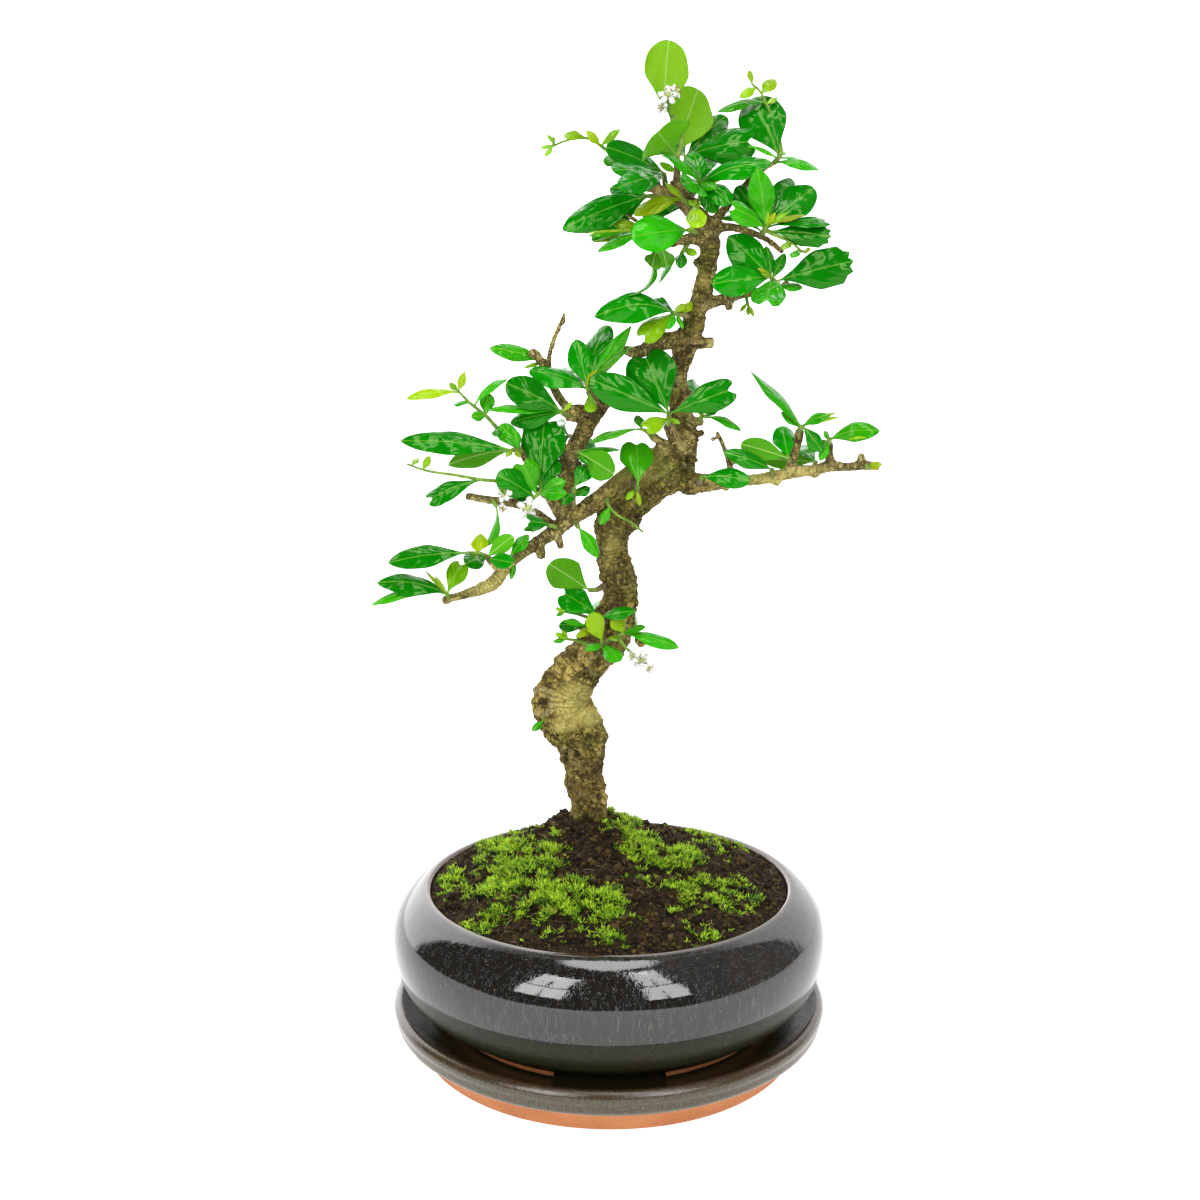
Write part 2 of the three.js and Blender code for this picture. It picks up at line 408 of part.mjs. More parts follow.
  ["shoot_low_left", "deep", [[[490, 561, -16, 1.3], [485, 556, -20, 1.2], [480, 554, -22, 1.0],
    [466, 553, -24, 0.8]]], [
    [466, 553, 388, 563, -32, 10.5, 24, 3, "e"], [478, 553, 481, 533, -22, 7.4, 12, 0.8, "n"],
    [488, 556, 513, 536, -20, 7.6, 168, 1.2, "r"], [485, 557, 465, 564, -30, 8.4, 20, 1, "r"],
    [490, 557, 513, 563, -27, 7, 16, 1, "r"]]],
  ["shoot_low_mid", "mid", [[[515, 561, -13, 1.2], [512, 558, -16, 1.0], [510, 556, -17, 0.9]]], [
    [510, 556, 529, 535, -18, 6.4, 30, 1, "e"]]],
  ["shoot_left_tip", "deep", [[[449, 598, -21, 1.2], [447, 594, -25, 1.0]]], [
    [446, 593, 377, 583, -31, 11.5, 36, 4, "e"], [445, 594, 370, 606, -33, 8, 62, 4, "e"],
    [447, 593, 462, 562, -27, 9, 8, 1, "h"]]],
  ["shoot_trunk_dark", "deep", [[[606, 622, 7, 1.6], [601, 619, 2, 1.3], [599, 617, 0, 1.1]]], [
    [597, 616, 561, 592, -8, 13, 18, 2, "h"], [602, 616, 636, 611, -6, 6.4, 30, 1.5, "e"]]],
  ["shoot_trunk_side", "mid", [[[601, 632, 7, 1.6], [594, 630, 2, 1.3], [588, 627, 0, 1.1]]], [
    [587, 625, 562, 621, -6, 3.6, 50, 1, "e"], [586, 631, 559, 625, 2, 7, 26, 1, "r"],
    [590, 628, 576, 638, -6, 3.8, 30, 0.6, "s"]]],
  ["shoot_right_twist", "mid", [[[799, 432, -4, 1.4], [801, 428, -8, 1.1], [803, 426, -9, 1.0]]], [
    [800, 426, 743, 366, -14, 9.4, 34, 2, "e", 60], [800, 428, 781, 412, -9, 4.4, 30, 0.8, "e"],
    [804, 426, 830, 415, -14, 5.2, 30, 2, "e"], [804, 428, 822, 452, -8, 7, 20, 1.5, "e"]]],
  ["shoot_right_stub", "mid", [[[829, 445, -2, 1.4], [829, 441, -6, 1.1], [830, 439, -7, 1.0]]], [
    [830, 438, 880, 431, -12, 9.4, 26, 4, "e"], [827, 441, 807, 450, -12, 6, 24, 1.5, "s"],
    [828, 442, 820, 461, -10, 4.4, 20, 0.8, "e"]]],
  ["shoot_right_round", "deep", [[[790, 462, -3, 1.3], [788, 458, -8, 1.1]]], [
    [788, 457, 782, 426, -12, 10.2, 6, 1.2, "r"], [784, 459, 741, 444, -4, 9.6, 170, 1.5, "r"]]],
  ["shoot_right_dark", "deep", [[[772, 475, 0, 1.3], [772, 470, -6, 1.1]]], [
    [771, 469, 723, 452, -12, 8, 22, 2.5, "e"]]],
  ["shoot_trunk_fork", "deep", [[[699, 484, 5, 1.6], [700, 480, -3, 1.3], [702, 477, -7, 1.1]]], [
    [703, 476, 750, 481, -12, 9.2, 18, 3, "r"]]],
  ["shoot_trunk_nub", "mid", [[[699, 420, 9, 1.1], [704, 416, 5, 0.9], [706, 417, 4, 0.8]]], [
    [706, 418, 741, 431, 0, 4.8, 40, 2.5, "e"]]],
  ["shoot_trunk_light", "mid", [[[607, 648, 6, 1.6], [603, 644, 1, 1.3], [602, 641, -1, 1.1]],
    [[603, 643, 0, 1.2], [613, 638, -1, 1.1], [624, 633, -1, 1.0]],
    [[617, 636, -1, 1.0], [626, 648, -2, 0.7], [639, 658, -3.6, 0.6]]], [
    [602, 640, 591, 613, -8, 9, 16, 1, "r"], [600, 648, 619, 662, -7, 8, 24, 1.2, "r"],
    [600, 645, 585, 650, -5, 4.4, 30, 0.6, "s"], [624, 632, 613, 615, -9, 8, 18, 1, "r"],
    [622, 629, 646, 627, -5, 4.6, 44, 1, "e"], [626, 634, 679, 648, -7, 7.6, 34, 2, "e"]]],
  ["shoot_right_rear", "mid", [[[812, 471, -2, 1.4], [814, 466, 3, 1.1], [816, 462, 6, 1.0]]], [
    [815, 461, 762, 460, 9, 8.4, 160, 2, "e"], [814, 461, 770, 455, 26, 11, 40, 2, "r"],
    [816, 460, 795, 446, 28, 10, 40, 1.5, "r"]]],
  ["shoot_rear_crown", "deep", [[[688, 208, 4, 1.6], [694, 204, 13, 1.2], [698, 200, 21, 1.0]]], [
    [700, 199, 731, 195, 38, 13, 30, 2.5, "r"], [695, 199, 660, 190, 38, 12, 30, 2.5, "r"],
    [699, 197, 712, 168, 34, 12, 30, 2, "h"], [693, 203, 640, 214, 27, 11, 40, 3, "e"]]],
  ["shoot_rear_trunk", "deep", [[[680, 386, 12, 1.6], [678, 384, 20, 1.2], [674, 382, 26, 1.0]]], [
    [672, 381, 646, 372, 43, 14, 20, 2.5, "r"], [677, 384, 704, 399, 44, 12, 30, 2, "r"],
    [671, 383, 636, 396, 36, 12, 40, 2.5, "h"]]],
  ["shoot_rear_low", "mid", [[[619, 605, 15, 1.7], [616, 606, 26, 1.2], [614, 606, 31, 1.0]]], [
    [612, 607, 588, 612, 47, 12, 30, 2, "r"], [616, 607, 638, 620, 48, 11, 40, 2, "r"],
    [614, 609, 611, 640, 45, 10, 30, 2, "r"]]],
  ["shoot_rear_left", "deep", [[[577, 441, 6, 1.6], [574, 438, 14, 1.2], [570, 436, 19, 1.0]]], [
    [569, 436, 545, 452, 33, 13, 30, 2.5, "r"], [571, 438, 598, 461, 34, 12, 40, 2.5, "r"],
    [568, 434, 545, 424, 33, 12, 30, 2, "h"]]],
];

// White flowers: the shoot that carries them, and each one's middle [px, py, depth Y, width] and
// the way it faces [east, north, up].
const FLOWERS = [
  ["flowers_top", "shoot_crown_top",
    [[668, 95, -9, 11, [0.1, -1, 0.35]], [662, 107, -8, 8, [-0.7, -1, -0.3]]]],
  ["flowers_left", "shoot_left_head", [[528, 508, -17, 12.5, [0.1, -1, -0.2]]]],
  ["flowers_low", "shoot_trunk_light", [[641, 660, -6, 9, [0.3, -1, -0.3]]]],
];
const FLOWER_PETALS = 5;
// Round one petal: the part of a petal's turn, and how far out
const PETAL_OUTLINE = [[0, 0.4], [0.33, 1], [0.67, 1]];
const PETAL_FALL = 0.4;
const FLOWER_TUBE = { radius: 1.3, foot: 0.9, length: 3 };

// Leaves

function greened(shade) {
  return new THREE.MeshStandardMaterial({ ...GREENS[shade], metalness: 0 });
}

function stemPoint(stems, px, py) {
  let best = null;
  for (const stem of stems) {
    for (let i = 0; i + 1 < stem.length; i++) {
      const [ax, ay, ad] = stem[i];
      const [bx, by, bd] = stem[i + 1];
      const span = (bx - ax) ** 2 + (by - ay) ** 2;
      const part = Math.min(Math.max(((px - ax) * (bx - ax) + (py - ay) * (by - ay)) / span, 0), 1);
      const near = [ax + (bx - ax) * part, ay + (by - ay) * part, ad + (bd - ad) * part];
      const distance = Math.hypot(px - near[0], py - near[1]);
      if (!best || distance < best.distance) best = { distance, near };
    }
  }
  return best.near;
}

// The upper side of a leaf is turned by its roll, from the eye towards the sky.
function upperSide(base, tip, roll) {
  const along = tip.clone().sub(base).normalize();
  const toEye = new THREE.Vector3(...VIEW.eye).sub(base.clone().lerp(tip, 0.5));
  toEye.addScaledVector(along, -along.dot(toEye)).normalize();
  const toSky = along.clone().cross(toEye);
  if (toSky.z < 0) toSky.negate();
  const turn = THREE.MathUtils.degToRad(roll);
  return toEye.multiplyScalar(Math.cos(turn)).addScaledVector(toSky, Math.sin(turn));
}

// A point of the blade: t runs from base to apex, s across it, and h through it.
function bladePoint(leaf, t, s, h) {
  const along = leaf.tip.clone().sub(leaf.base);
  const length = along.length();
  along.normalize();
  const up = leaf.up.clone().applyAxisAngle(along, THREE.MathUtils.degToRad(leaf.twist * t));
  const side = along.clone().cross(up);
  const slope = (leaf.arch * 4 * (1 - 2 * t)) / length;
  const normal = up.clone().addScaledVector(along, -slope).normalize();
  const out = (s * leaf.width) / 2;
  const fall = leaf.shape.cup * Math.abs(out) * Math.abs(s);
  const point = leaf.base.clone().addScaledVector(along, length * t);
  point.addScaledVector(up, leaf.arch * 4 * t * (1 - t));
  point.addScaledVector(side, out);
  point.addScaledVector(normal, h - fall);
  return point;
}

// One blade as a closed solid. Both faces have the same triangles. Grow widens it on every side,
// and from leaves out its root.
function blade(leaf, grow = 0, from = 0) {
  const { edge, apex, spine } = leaf.shape;
  const halfWidth = leaf.width / 2;
  const least = BLADE_ROOT_HALF_WIDTH / halfWidth;
  const half = BLADE_HALF_THICKNESS + grow;
  const points = [];
  const add = (t, s, h) => points.push(bladePoint(leaf, t, s, h)) - 1;
  const past = (t) => from + (1 - from) * t;
  const pair = (t, s) => ({ t, top: add(past(t), s, half), under: add(past(t), s, -half) });
  const middle = [...spine, apex].map((t) => pair(t, 0));
  const faces = [];
  const roots = [];
  for (const sign of [1, -1]) {
    const rim = edge.map(([t, s]) => pair(t, sign * (Math.max(s, least) + grow / halfWidth)));
    roots.push(rim[0]);
    const turned = (a, b, c) => faces.push(sign > 0 ? [a, b, c] : [a, c, b]);
    const bothFaces = (a, b, c) => {
      turned(a.top, b.top, c.top);
      turned(a.under, c.under, b.under);
    };
    const wall = (a, b) => {
      turned(a.top, a.under, b.under);
      turned(a.top, b.under, b.top);
    };
    let i = 0;
    let j = 0;
    while (i < middle.length - 1 || j < rim.length - 1) {
      const beforeApex = i === middle.length - 2;
      const alongRim = j < rim.length - 1 && (beforeApex || rim[j + 1].t <= middle[i + 1].t);
      bothFaces(middle[i], rim[j], alongRim ? rim[j + 1] : middle[i + 1]);
      if (alongRim) j++;
      else i++;
    }
    const outline = [...rim, middle[middle.length - 1]];
    for (let k = 0; k + 1 < outline.length; k++) wall(outline[k], outline[k + 1]);
  }
  const [a, b] = roots;
  faces.push([middle[0].top, b.top, a.top], [middle[0].under, a.under, b.under]);
  faces.push([a.top, b.top, b.under], [a.top, b.under, a.under]);
  return toSolid(indexed(points, faces));
}

// Which way a blade leans, 1 to the back and -1 to the front: a steep blade that shows its upper side
// turns that side to the sky, and any other follows the depth of its tip.
function leanWay(start, [bx, by, tx, ty, depth, , roll]) {
  const climb = (by - ty) / Math.hypot(tx - bx, ty - by);
  if (roll < SHOWS_UNDERSIDE && Math.abs(climb) > STEEP) return Math.sign(climb);
  return depth < start[2] ? -1 : 1;
}

// A blade that looks shorter than its width allows leans to the front or to the back.
function readLeaf(stems, row, step) {
  const [bx, by, tx, ty, depth, width, roll, arch, kind, twist = 0] = row;
  const start = stemPoint(stems, bx, by);
  const base = place(...start);
  const seen = place(tx, ty, depth).distanceTo(base);
  const lean = Math.min(Math.sqrt(Math.max((BLADE_PROPORTION * width) ** 2 - seen ** 2, 0)), MOST_LEAN);
  const tip = place(tx, ty, depth + leanWay(start, row) * lean + step);
  const shape = tip.distanceTo(base) < SMALL_BLADE_LENGTH && kind !== "n" ? BLADES.s : BLADES[kind];
  return { base, tip, width, arch, twist, shape, up: upperSide(base, tip, roll) };
}

function limb(rows, sides, grow = 0, swell) {
  const points = rows.map(([px, py, depth]) => place(px, py, depth));
  return bar(points, rows.map((row) => row[3]), sides, grow, swell);
}

// The wood

function trunkSwell(ring, turn) {
  const [broad, slight] = TRUNK_FLUTES;
  const flute = ({ size, lobes, drift }) => size * Math.sin(lobes * turn + drift * ring);
  return 1 + flute(broad) + flute(slight);
}

function surfaceRoots(grow) {
  const foot = place(TRUNK_FOOT.px, TRUNK_FOOT.py, TRUNK_FOOT.depth);
  return SURFACE_ROOTS.map(({ east, north, radius }) => {
    const at = (part, drop) => new THREE.Vector3(foot.x + east * part, foot.y + north * part, foot.z - drop);
    const run = ROOT_RUN.map(([part, drop]) => at(part, drop));
    return bar(run, ROOT_RUN.map(([, , taper]) => radius * taper), LIMB_SIDES, grow);
  });
}

function makeWood(grow = 0) {
  const solids = [limb(TRUNK, TRUNK_SIDES, grow, trunkSwell), ...surfaceRoots(grow)];
  for (const rows of LIMBS) solids.push(limb(rows, rows[0][3] > TWIG_RADIUS ? LIMB_SIDES : TWIG_SIDES, grow));
  for (const [px, py, depth, radius] of KNOBS) solids.push(knob(place(px, py, depth), radius + grow));
  return largestPiece(joined(solids));
}

// The vessel

function makeSaucer() {
  const lip = SAUCER_LIP_RADIUS;
  const outside = [[SAUCER_FOOT_RADIUS, 0], [90.3, 9.8], [95.2, 13.4], [lip, 18.6]];
  const inside = [[lip - 3, SAUCER_HEIGHT], [90.8, 19.4], [84, SAUCER_FLOOR]];
  return turned([[0, 0], ...outside, ...inside, [0, SAUCER_FLOOR]]);
}

const POT_BASE = SAUCER_FLOOR + SEAT_GAP;
const POT_UNDERSIDE = POT_BASE + POT_FOOT_HEIGHT;
const POT_FLOOR = POT_UNDERSIDE + POT_FLOOR_THICKNESS;
const WALL_STEPS = 7;
const INNER_STEPS = 5;

// Pot walls from the bottom up to the lip: outside and inside
const POT_OUTSIDE = [[74.6, POT_UNDERSIDE], [81.2, 22.6], [87, 26.4], [92.4, 32.5], [95.9, 41],
  [POT_WIDEST_RADIUS, 50], [96.6, 56.5], [94.4, 62.5], [90.6, 67.6], [86.8, 71], [83, POT_RIM_HEIGHT]];
const POT_INSIDE = [[POT_MOUTH_RADIUS - 12, POT_FLOOR], [77.5, 28.8], [84.2, 35], [88.4, 42],
  [POT_WIDEST_RADIUS - POT_WALL, 50], [89.9, 56.5], [87.4, 61.8], [83.6, 66.8], [POT_MOUTH_RADIUS, 71.2]];

function makePot() {
  const outside = smoothOutline(POT_OUTSIDE, WALL_STEPS);
  const inside = smoothOutline(POT_INSIDE, INNER_STEPS).reverse();
  const innerFoot = POT_FOOT_RADIUS - POT_FOOT_WIDTH;
  const foot = [[0, POT_UNDERSIDE], [innerFoot, POT_UNDERSIDE], [innerFoot, POT_BASE],
    [POT_FOOT_RADIUS, POT_BASE], [POT_FOOT_RADIUS, POT_UNDERSIDE]];
  let pot = turned([...foot, ...outside, [80.6, POT_RIM_HEIGHT - 0.4], ...inside, [0, POT_FLOOR]]);
  const notchHeight = POT_FOOT_HEIGHT + 2 * CUT_PAST;
  const notchZ = POT_UNDERSIDE - notchHeight / 2;
  const across = 2 * (POT_FOOT_RADIUS + CUT_PAST);
  pot = pot.subtract(box(FOOT_NOTCH_WIDTH, across, notchHeight, 0, 0, notchZ));
  pot = pot.subtract(box(across, FOOT_NOTCH_WIDTH, notchHeight, 0, 0, notchZ));
  const holeHeight = 2 * (POT_FLOOR_THICKNESS + CUT_PAST);
  return pot.subtract(cylinder(DRAIN_HOLE_RADIUS, holeHeight, 0, 0, POT_FLOOR, DRAIN_HOLE_SIDES));
}

function makeDrainMesh() {
  const z = POT_FLOOR + SEAT_GAP + DRAIN_MESH_THICKNESS / 2;
  let mesh = cylinder(DRAIN_MESH_RADIUS, DRAIN_MESH_THICKNESS, 0, 0, z, DRAIN_HOLE_SIDES);
  for (let i = -1; i <= 1; i++) {
    for (let j = -1; j <= 1; j++) {
      const [x, y] = [i * DRAIN_MESH_PITCH, j * DRAIN_MESH_PITCH];
      mesh = mesh.subtract(box(DRAIN_MESH_HOLE, DRAIN_MESH_HOLE, 2 * DRAIN_MESH_THICKNESS, x, y, z));
    }
  }
  return mesh;
}

// Height of the soil: it mounds up to the trunk's foot and is a little uneven.
function soilHeight(x, y) {
  const foot = place(TRUNK_FOOT.px, TRUNK_FOOT.py, TRUNK_FOOT.depth);
  const part = Math.min(Math.hypot(x, y) / POT_MOUTH_RADIUS, 1);
  const dome = SOIL_RISE * (1 - part ** 2) ** SOIL_DOME_POWER;
  const fromFoot = (x - foot.x) ** 2 + (y - foot.y) ** 2;
  const heap = SOIL_HEAP * Math.exp(-fromFoot / SOIL_HEAP_SPREAD) * (1 - part);
  const wave = Math.sin(x / SOIL_WAVE_EAST + 1) * Math.cos(y / SOIL_WAVE_NORTH - 0.5);
  return POT_RIM_HEIGHT - SOIL_EDGE_DROP + dome + heap + SOIL_WAVE * wave * (1 - part);
}

function makeSoil(hole) {
  const edge = POT_MOUTH_RADIUS - SOIL_EDGE_GAP;
  const cavity = smoothOutline(POT_INSIDE, INNER_STEPS).reverse().slice(1);
  const floor = POT_FLOOR + 2 * SEAT_GAP + DRAIN_MESH_THICKNESS;
  const rings = SOIL_RINGS.map((part) => ({ radius: edge * part, height: soilHeight }));
  for (const [radius, z] of cavity) {
    rings.push({ radius: radius - 2 * SEAT_GAP, height: () => Math.max(z, floor) });
  }
  const points = [new THREE.Vector3(0, 0, soilHeight(0, 0)), new THREE.Vector3(0, 0, floor)];
  for (const { radius, height } of rings) {
    for (let j = 0; j < ROUND_SIDES; j++) {
      const x = radius * Math.cos((2 * Math.PI * j) / ROUND_SIDES);
      const y = radius * Math.sin((2 * Math.PI * j) / ROUND_SIDES);
      points.push(new THREE.Vector3(x, y, height(x, y)));
    }
  }
  const faces = [];
  for (let j = 0; j < ROUND_SIDES; j++) {
    const next = (j + 1) % ROUND_SIDES;
    faces.push([0, 2 + j, 2 + next]);
    for (let i = 0; i + 1 < rings.length; i++) {
      const [a, b] = [2 + i * ROUND_SIDES + j, 2 + i * ROUND_SIDES + next];
      faces.push([a, a + ROUND_SIDES, b + ROUND_SIDES], [a, b + ROUND_SIDES, b]);
    }
    const last = 2 + (rings.length - 1) * ROUND_SIDES;
    faces.push([last + j, 1, last + next]);
  }
  return largestPiece(toSolid(indexed(points, faces)).subtract(hole));
}

// Shoots and flowers

// A three-sided stem is drawn wider, so that it has the section of the round one.
function stemSolids(stems, grow) {
  const wider = (radius) => Math.max(radius * STEM_SWELL, LEAST_STEM);
  const widened = (stem) => stem.map(([px, py, y, radius]) => [px, py, y, wider(radius)]);
  return joined(stems.map((stem) => limb(widened(stem), SHOOT_SIDES, 2 * grow)));
}

function touches(a, b) {
  const [p, q] = [a.boundingBox(), b.boundingBox()];
  return [0, 1, 2].every((k) => p.min[k] <= q.max[k] && q.min[k] <= p.max[k]);
}

function crossing(solid, others) {
  const near = others.filter((other) => touches(solid, other));
  return near.reduce((sum, other) => sum + solid.intersect(other).volume(), 0);
}

// A leaf is bent in depth until it clears the wood, every other shoot, and the leaves beside it
// past their roots. The step with the least crossing serves where none is clear.
function clearLeaf(stems, row, others, beside) {
  let best = null;
  for (const step of TIP_STEPS) {
    const leaf = readLeaf(stems, row, step);
    const through = crossing(blade(leaf, SEAT_GAP), others) + crossing(blade(leaf, 0, ROOT_PART), beside);
    if (!best || through < best.through) best = { through, leaf };
    if (through < CLEAR_VOLUME) break;
  }
  return best;
}

function makeShoot(stems, rows, wood, others) {
  const parts = [stemSolids(stems, 0)];
  const beside = [wood];
  for (const row of rows) {
    const { leaf } = clearLeaf(stems, row, others, beside);
    parts.push(blade(leaf));
    beside.push(blade(leaf, 0, ROOT_PART));
  }
  return parts;
}

// A flower is one star: from notch to notch each petal bulges to its blunt tip.
function makeFlower(heads, step) {
  const parts = [];
  for (const [px, py, depth, width, facing] of heads) {
    const middle = place(px, py, depth + step);
    const axis = new THREE.Vector3(...facing).normalize();
    const across = new THREE.Vector3(0, 0, 1).cross(axis).normalize();
    const points = [];
    const add = (part, turn, height) => {
      const way = across.clone().applyAxisAngle(axis, turn);
      const point = middle.clone().addScaledVector(way, (part * width) / 2);
      return points.push(point.addScaledVector(axis, height)) - 1;
    };
    const pair = (part, turn, fall) => [
      add(part, turn, BLADE_HALF_THICKNESS - fall), add(part, turn, -BLADE_HALF_THICKNESS - fall)];
    const centre = pair(0, 0, 0);
    const rim = [];
    for (let i = 0; i < FLOWER_PETALS; i++) {
      for (const [turnPart, part] of PETAL_OUTLINE) {
        rim.push(pair(part, (2 * Math.PI * (i + turnPart)) / FLOWER_PETALS, part * PETAL_FALL));
      }
    }
    const faces = [];
    rim.forEach((a, k) => {
      const b = rim[(k + 1) % rim.length];
      faces.push([centre[0], a[0], b[0]], [centre[1], b[1], a[1]], [a[0], a[1], b[1]], [a[0], b[1], b[0]]);
    });
    parts.push(toSolid(indexed(points, faces)));
    const back = middle.clone().addScaledVector(axis, -FLOWER_TUBE.length);
    parts.push(bar([back, middle], [FLOWER_TUBE.foot, FLOWER_TUBE.radius], FLOWER_PETALS));
  }
  return joined(parts);
}

// The parts and their materials

const root = new THREE.Group();
const vessel = new THREE.Group();
const tree = new THREE.Group();
root.add(vessel, tree);

function addNode(group, name, solid, material) {
  const mesh = new THREE.Mesh(toGeometry(solid), material);
  mesh.name = name;
  group.add(mesh);
}

function finish(color, roughness) {
  return new THREE.MeshStandardMaterial({ color, roughness, metalness: 0 });
}

const wood = makeWood();
const woodClear = makeWood(SEAT_GAP);
addNode(vessel, "saucer", makeSaucer(), finish(0x3b3417, 0.2));
addNode(vessel, "pot", makePot(), finish(0x14130e, 0.15));
addNode(vessel, "drain_mesh", makeDrainMesh(), finish(0x1c1f1c, 0.6));
addNode(vessel, "soil", makeSoil(woodClear), finish(0x2a1c12, 0.95));
addNode(tree, "wood", wood, finish(0x6f6138, 0.85));

const stemsClear = SHOOTS.map(([, , stems]) => stemSolids(stems, SEAT_GAP));
const finished = [];
SHOOTS.forEach(([name, green, stems, rows], index) => {
  const otherStems = stemsClear.filter((_, other) => other > index);
  const parts = makeShoot(stems, rows, wood, [...finished, ...otherStems]);
  const shoot = largestPiece(joined(parts).subtract(woodClear));
  finished.push(shoot);
  addNode(tree, name, shoot, greened(green));
});

// A flower keeps off its carrier's stem, and is moved in depth until it clears all else.
for (const [name, carrier, heads] of FLOWERS) {
  const stems = stemsClear[SHOOTS.findIndex(([shoot]) => shoot === carrier)];
  let best = null;
  for (const step of TIP_STEPS) {
    const flower = largestPiece(makeFlower(heads, step).subtract(stems));
    const through = crossing(flower, [...finished, ...stemsClear, woodClear]);
    if (!best || through < best.through) best = { through, flower };
    if (through < CLEAR_VOLUME) break;
  }
  addNode(tree, name, best.flower, finish(0xf3f2ea, 0.5));
}

export default root;
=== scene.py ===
"""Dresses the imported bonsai: glazed pot and saucer, peat with moss, bark, leaves, flowers and studio light.

Lengths in this script are millimetres, as in the solids, until a mesh is made in metres.
"""
import math

import bpy
import numpy as np
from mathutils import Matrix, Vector, kdtree


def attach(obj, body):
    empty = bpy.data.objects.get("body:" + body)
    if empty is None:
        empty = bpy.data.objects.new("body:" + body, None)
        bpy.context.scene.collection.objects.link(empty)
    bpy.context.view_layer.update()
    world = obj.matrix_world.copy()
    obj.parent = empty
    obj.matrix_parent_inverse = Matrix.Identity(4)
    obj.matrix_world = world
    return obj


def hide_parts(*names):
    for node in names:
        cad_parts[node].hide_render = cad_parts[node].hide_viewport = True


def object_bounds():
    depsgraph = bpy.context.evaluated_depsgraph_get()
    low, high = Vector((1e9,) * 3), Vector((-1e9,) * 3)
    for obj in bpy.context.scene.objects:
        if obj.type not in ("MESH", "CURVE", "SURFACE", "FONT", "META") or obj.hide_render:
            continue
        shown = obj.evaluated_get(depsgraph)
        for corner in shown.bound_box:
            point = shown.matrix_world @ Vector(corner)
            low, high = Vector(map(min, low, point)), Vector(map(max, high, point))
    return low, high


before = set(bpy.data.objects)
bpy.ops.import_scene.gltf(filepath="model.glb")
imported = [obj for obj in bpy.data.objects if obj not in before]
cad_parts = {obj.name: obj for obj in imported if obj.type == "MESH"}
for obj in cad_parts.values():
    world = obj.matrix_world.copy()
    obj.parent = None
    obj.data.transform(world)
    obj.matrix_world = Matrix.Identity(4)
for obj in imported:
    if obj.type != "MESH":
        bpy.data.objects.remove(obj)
CAD_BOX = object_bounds()

MM = 0.001

# The photograph's view, as the solids use it: a pixel of a 1200 x 1200 frame and a depth Y give a place.
FRAME = 1200.0
FOCAL = 1397.0
MIDDLE = FRAME / 2
EYE = np.array([-4.0, -600.0, 304.2])
PITCH = 0.17


def place(px, py, depth):
    """The point at depth that the camera sees at a pixel."""
    right = (px - MIDDLE) / FOCAL
    up = (MIDDLE - py) / FOCAL
    forward = math.cos(PITCH) + up * math.sin(PITCH)
    climb = up * math.cos(PITCH) - math.sin(PITCH)
    reach = (depth - EYE[1]) / forward
    return np.array([EYE[0] + right * reach, depth, EYE[2] + climb * reach])


def seen_at(points):
    """The pixels at which the camera sees points."""
    away = np.atleast_2d(points) - EYE
    forward = away[:, 1] * math.cos(PITCH) - away[:, 2] * math.sin(PITCH)
    up = away[:, 1] * math.sin(PITCH) + away[:, 2] * math.cos(PITCH)
    return np.column_stack([MIDDLE + FOCAL * away[:, 0] / forward, MIDDLE - FOCAL * up / forward])


def unit(vectors):
    vectors = np.asarray(vectors, float)
    return vectors / np.maximum(np.linalg.norm(vectors, axis=-1, keepdims=True), 1e-9)


def ease(value, low, high):
    """0 below low, 1 above high, and smooth between them."""
    part = np.clip((np.asarray(value, float) - low) / (high - low), 0, 1)
    return part * part * (3 - 2 * part)


def noise(points, size, seed=0):
    """Smooth lumps from -1 to 1, about size apart."""
    at = np.asarray(points, float) / size + 1000.0
    cell = np.floor(at).astype(np.int64)
    part = at - cell
    part = part * part * (3 - 2 * part)
    total = np.zeros(len(at))
    for corner in np.ndindex(2, 2, 2):
        x, y, z = (cell + corner).T
        mixed = (x * 73856093) ^ (y * 19349663) ^ (z * 83492791) ^ (seed * 2654435761)
        mixed = (mixed ^ (mixed >> 13)) * 1274126177 & 0x7FFFFFFF
        mixed = (mixed ^ (mixed >> 15)) * 2246822519 & 0x7FFFFFFF
        value = ((mixed >> 7) & 0xFFFF) / 32767.5 - 1
        weight = np.prod(np.where(corner, part, 1 - part), axis=1)
        total += weight * value
    return total


def turned_about(vectors, axis, angle):
    """Vectors turned about an axis by an angle, by Rodrigues' formula."""
    vectors = np.asarray(vectors, float)
    cos = np.cos(angle)[..., None] if np.ndim(angle) else math.cos(angle)
    sin = np.sin(angle)[..., None] if np.ndim(angle) else math.sin(angle)
    along = (vectors @ axis)[..., None] * axis
    return vectors * cos + np.cross(axis, vectors) * sin + along * (1 - cos)


def flow(rows, spacing):
    """A smooth run through rows, with points about spacing apart. A row is a place and what it carries."""
    rows = np.asarray(rows, float)
    steps = np.linalg.norm(np.diff(rows[:, :3], axis=0), axis=1)
    slopes = np.gradient(rows, np.concatenate([[0], np.cumsum(steps)]), axis=0)
    run = []
    for i, step in enumerate(steps):
        count = max(1, round(step / spacing))
        u = (np.arange(count) / count)[:, None]
        a, b = rows[i], rows[i + 1]
        p, q = slopes[i] * step, slopes[i + 1] * step
        run.append(a * (2 * u**3 - 3 * u**2 + 1) + p * (u**3 - 2 * u**2 + u)
                   + b * (3 * u**2 - 2 * u**3) + q * (u**3 - u**2))
    return np.vstack([*run, rows[-1]])


def store(mesh, name, vectors):
    """Keeps a vector for each of a mesh's points, for its material to read."""
    layer = mesh.attributes.new(name, "FLOAT_VECTOR", "POINT")
    layer.data.foreach_set("vector", vectors.ravel())


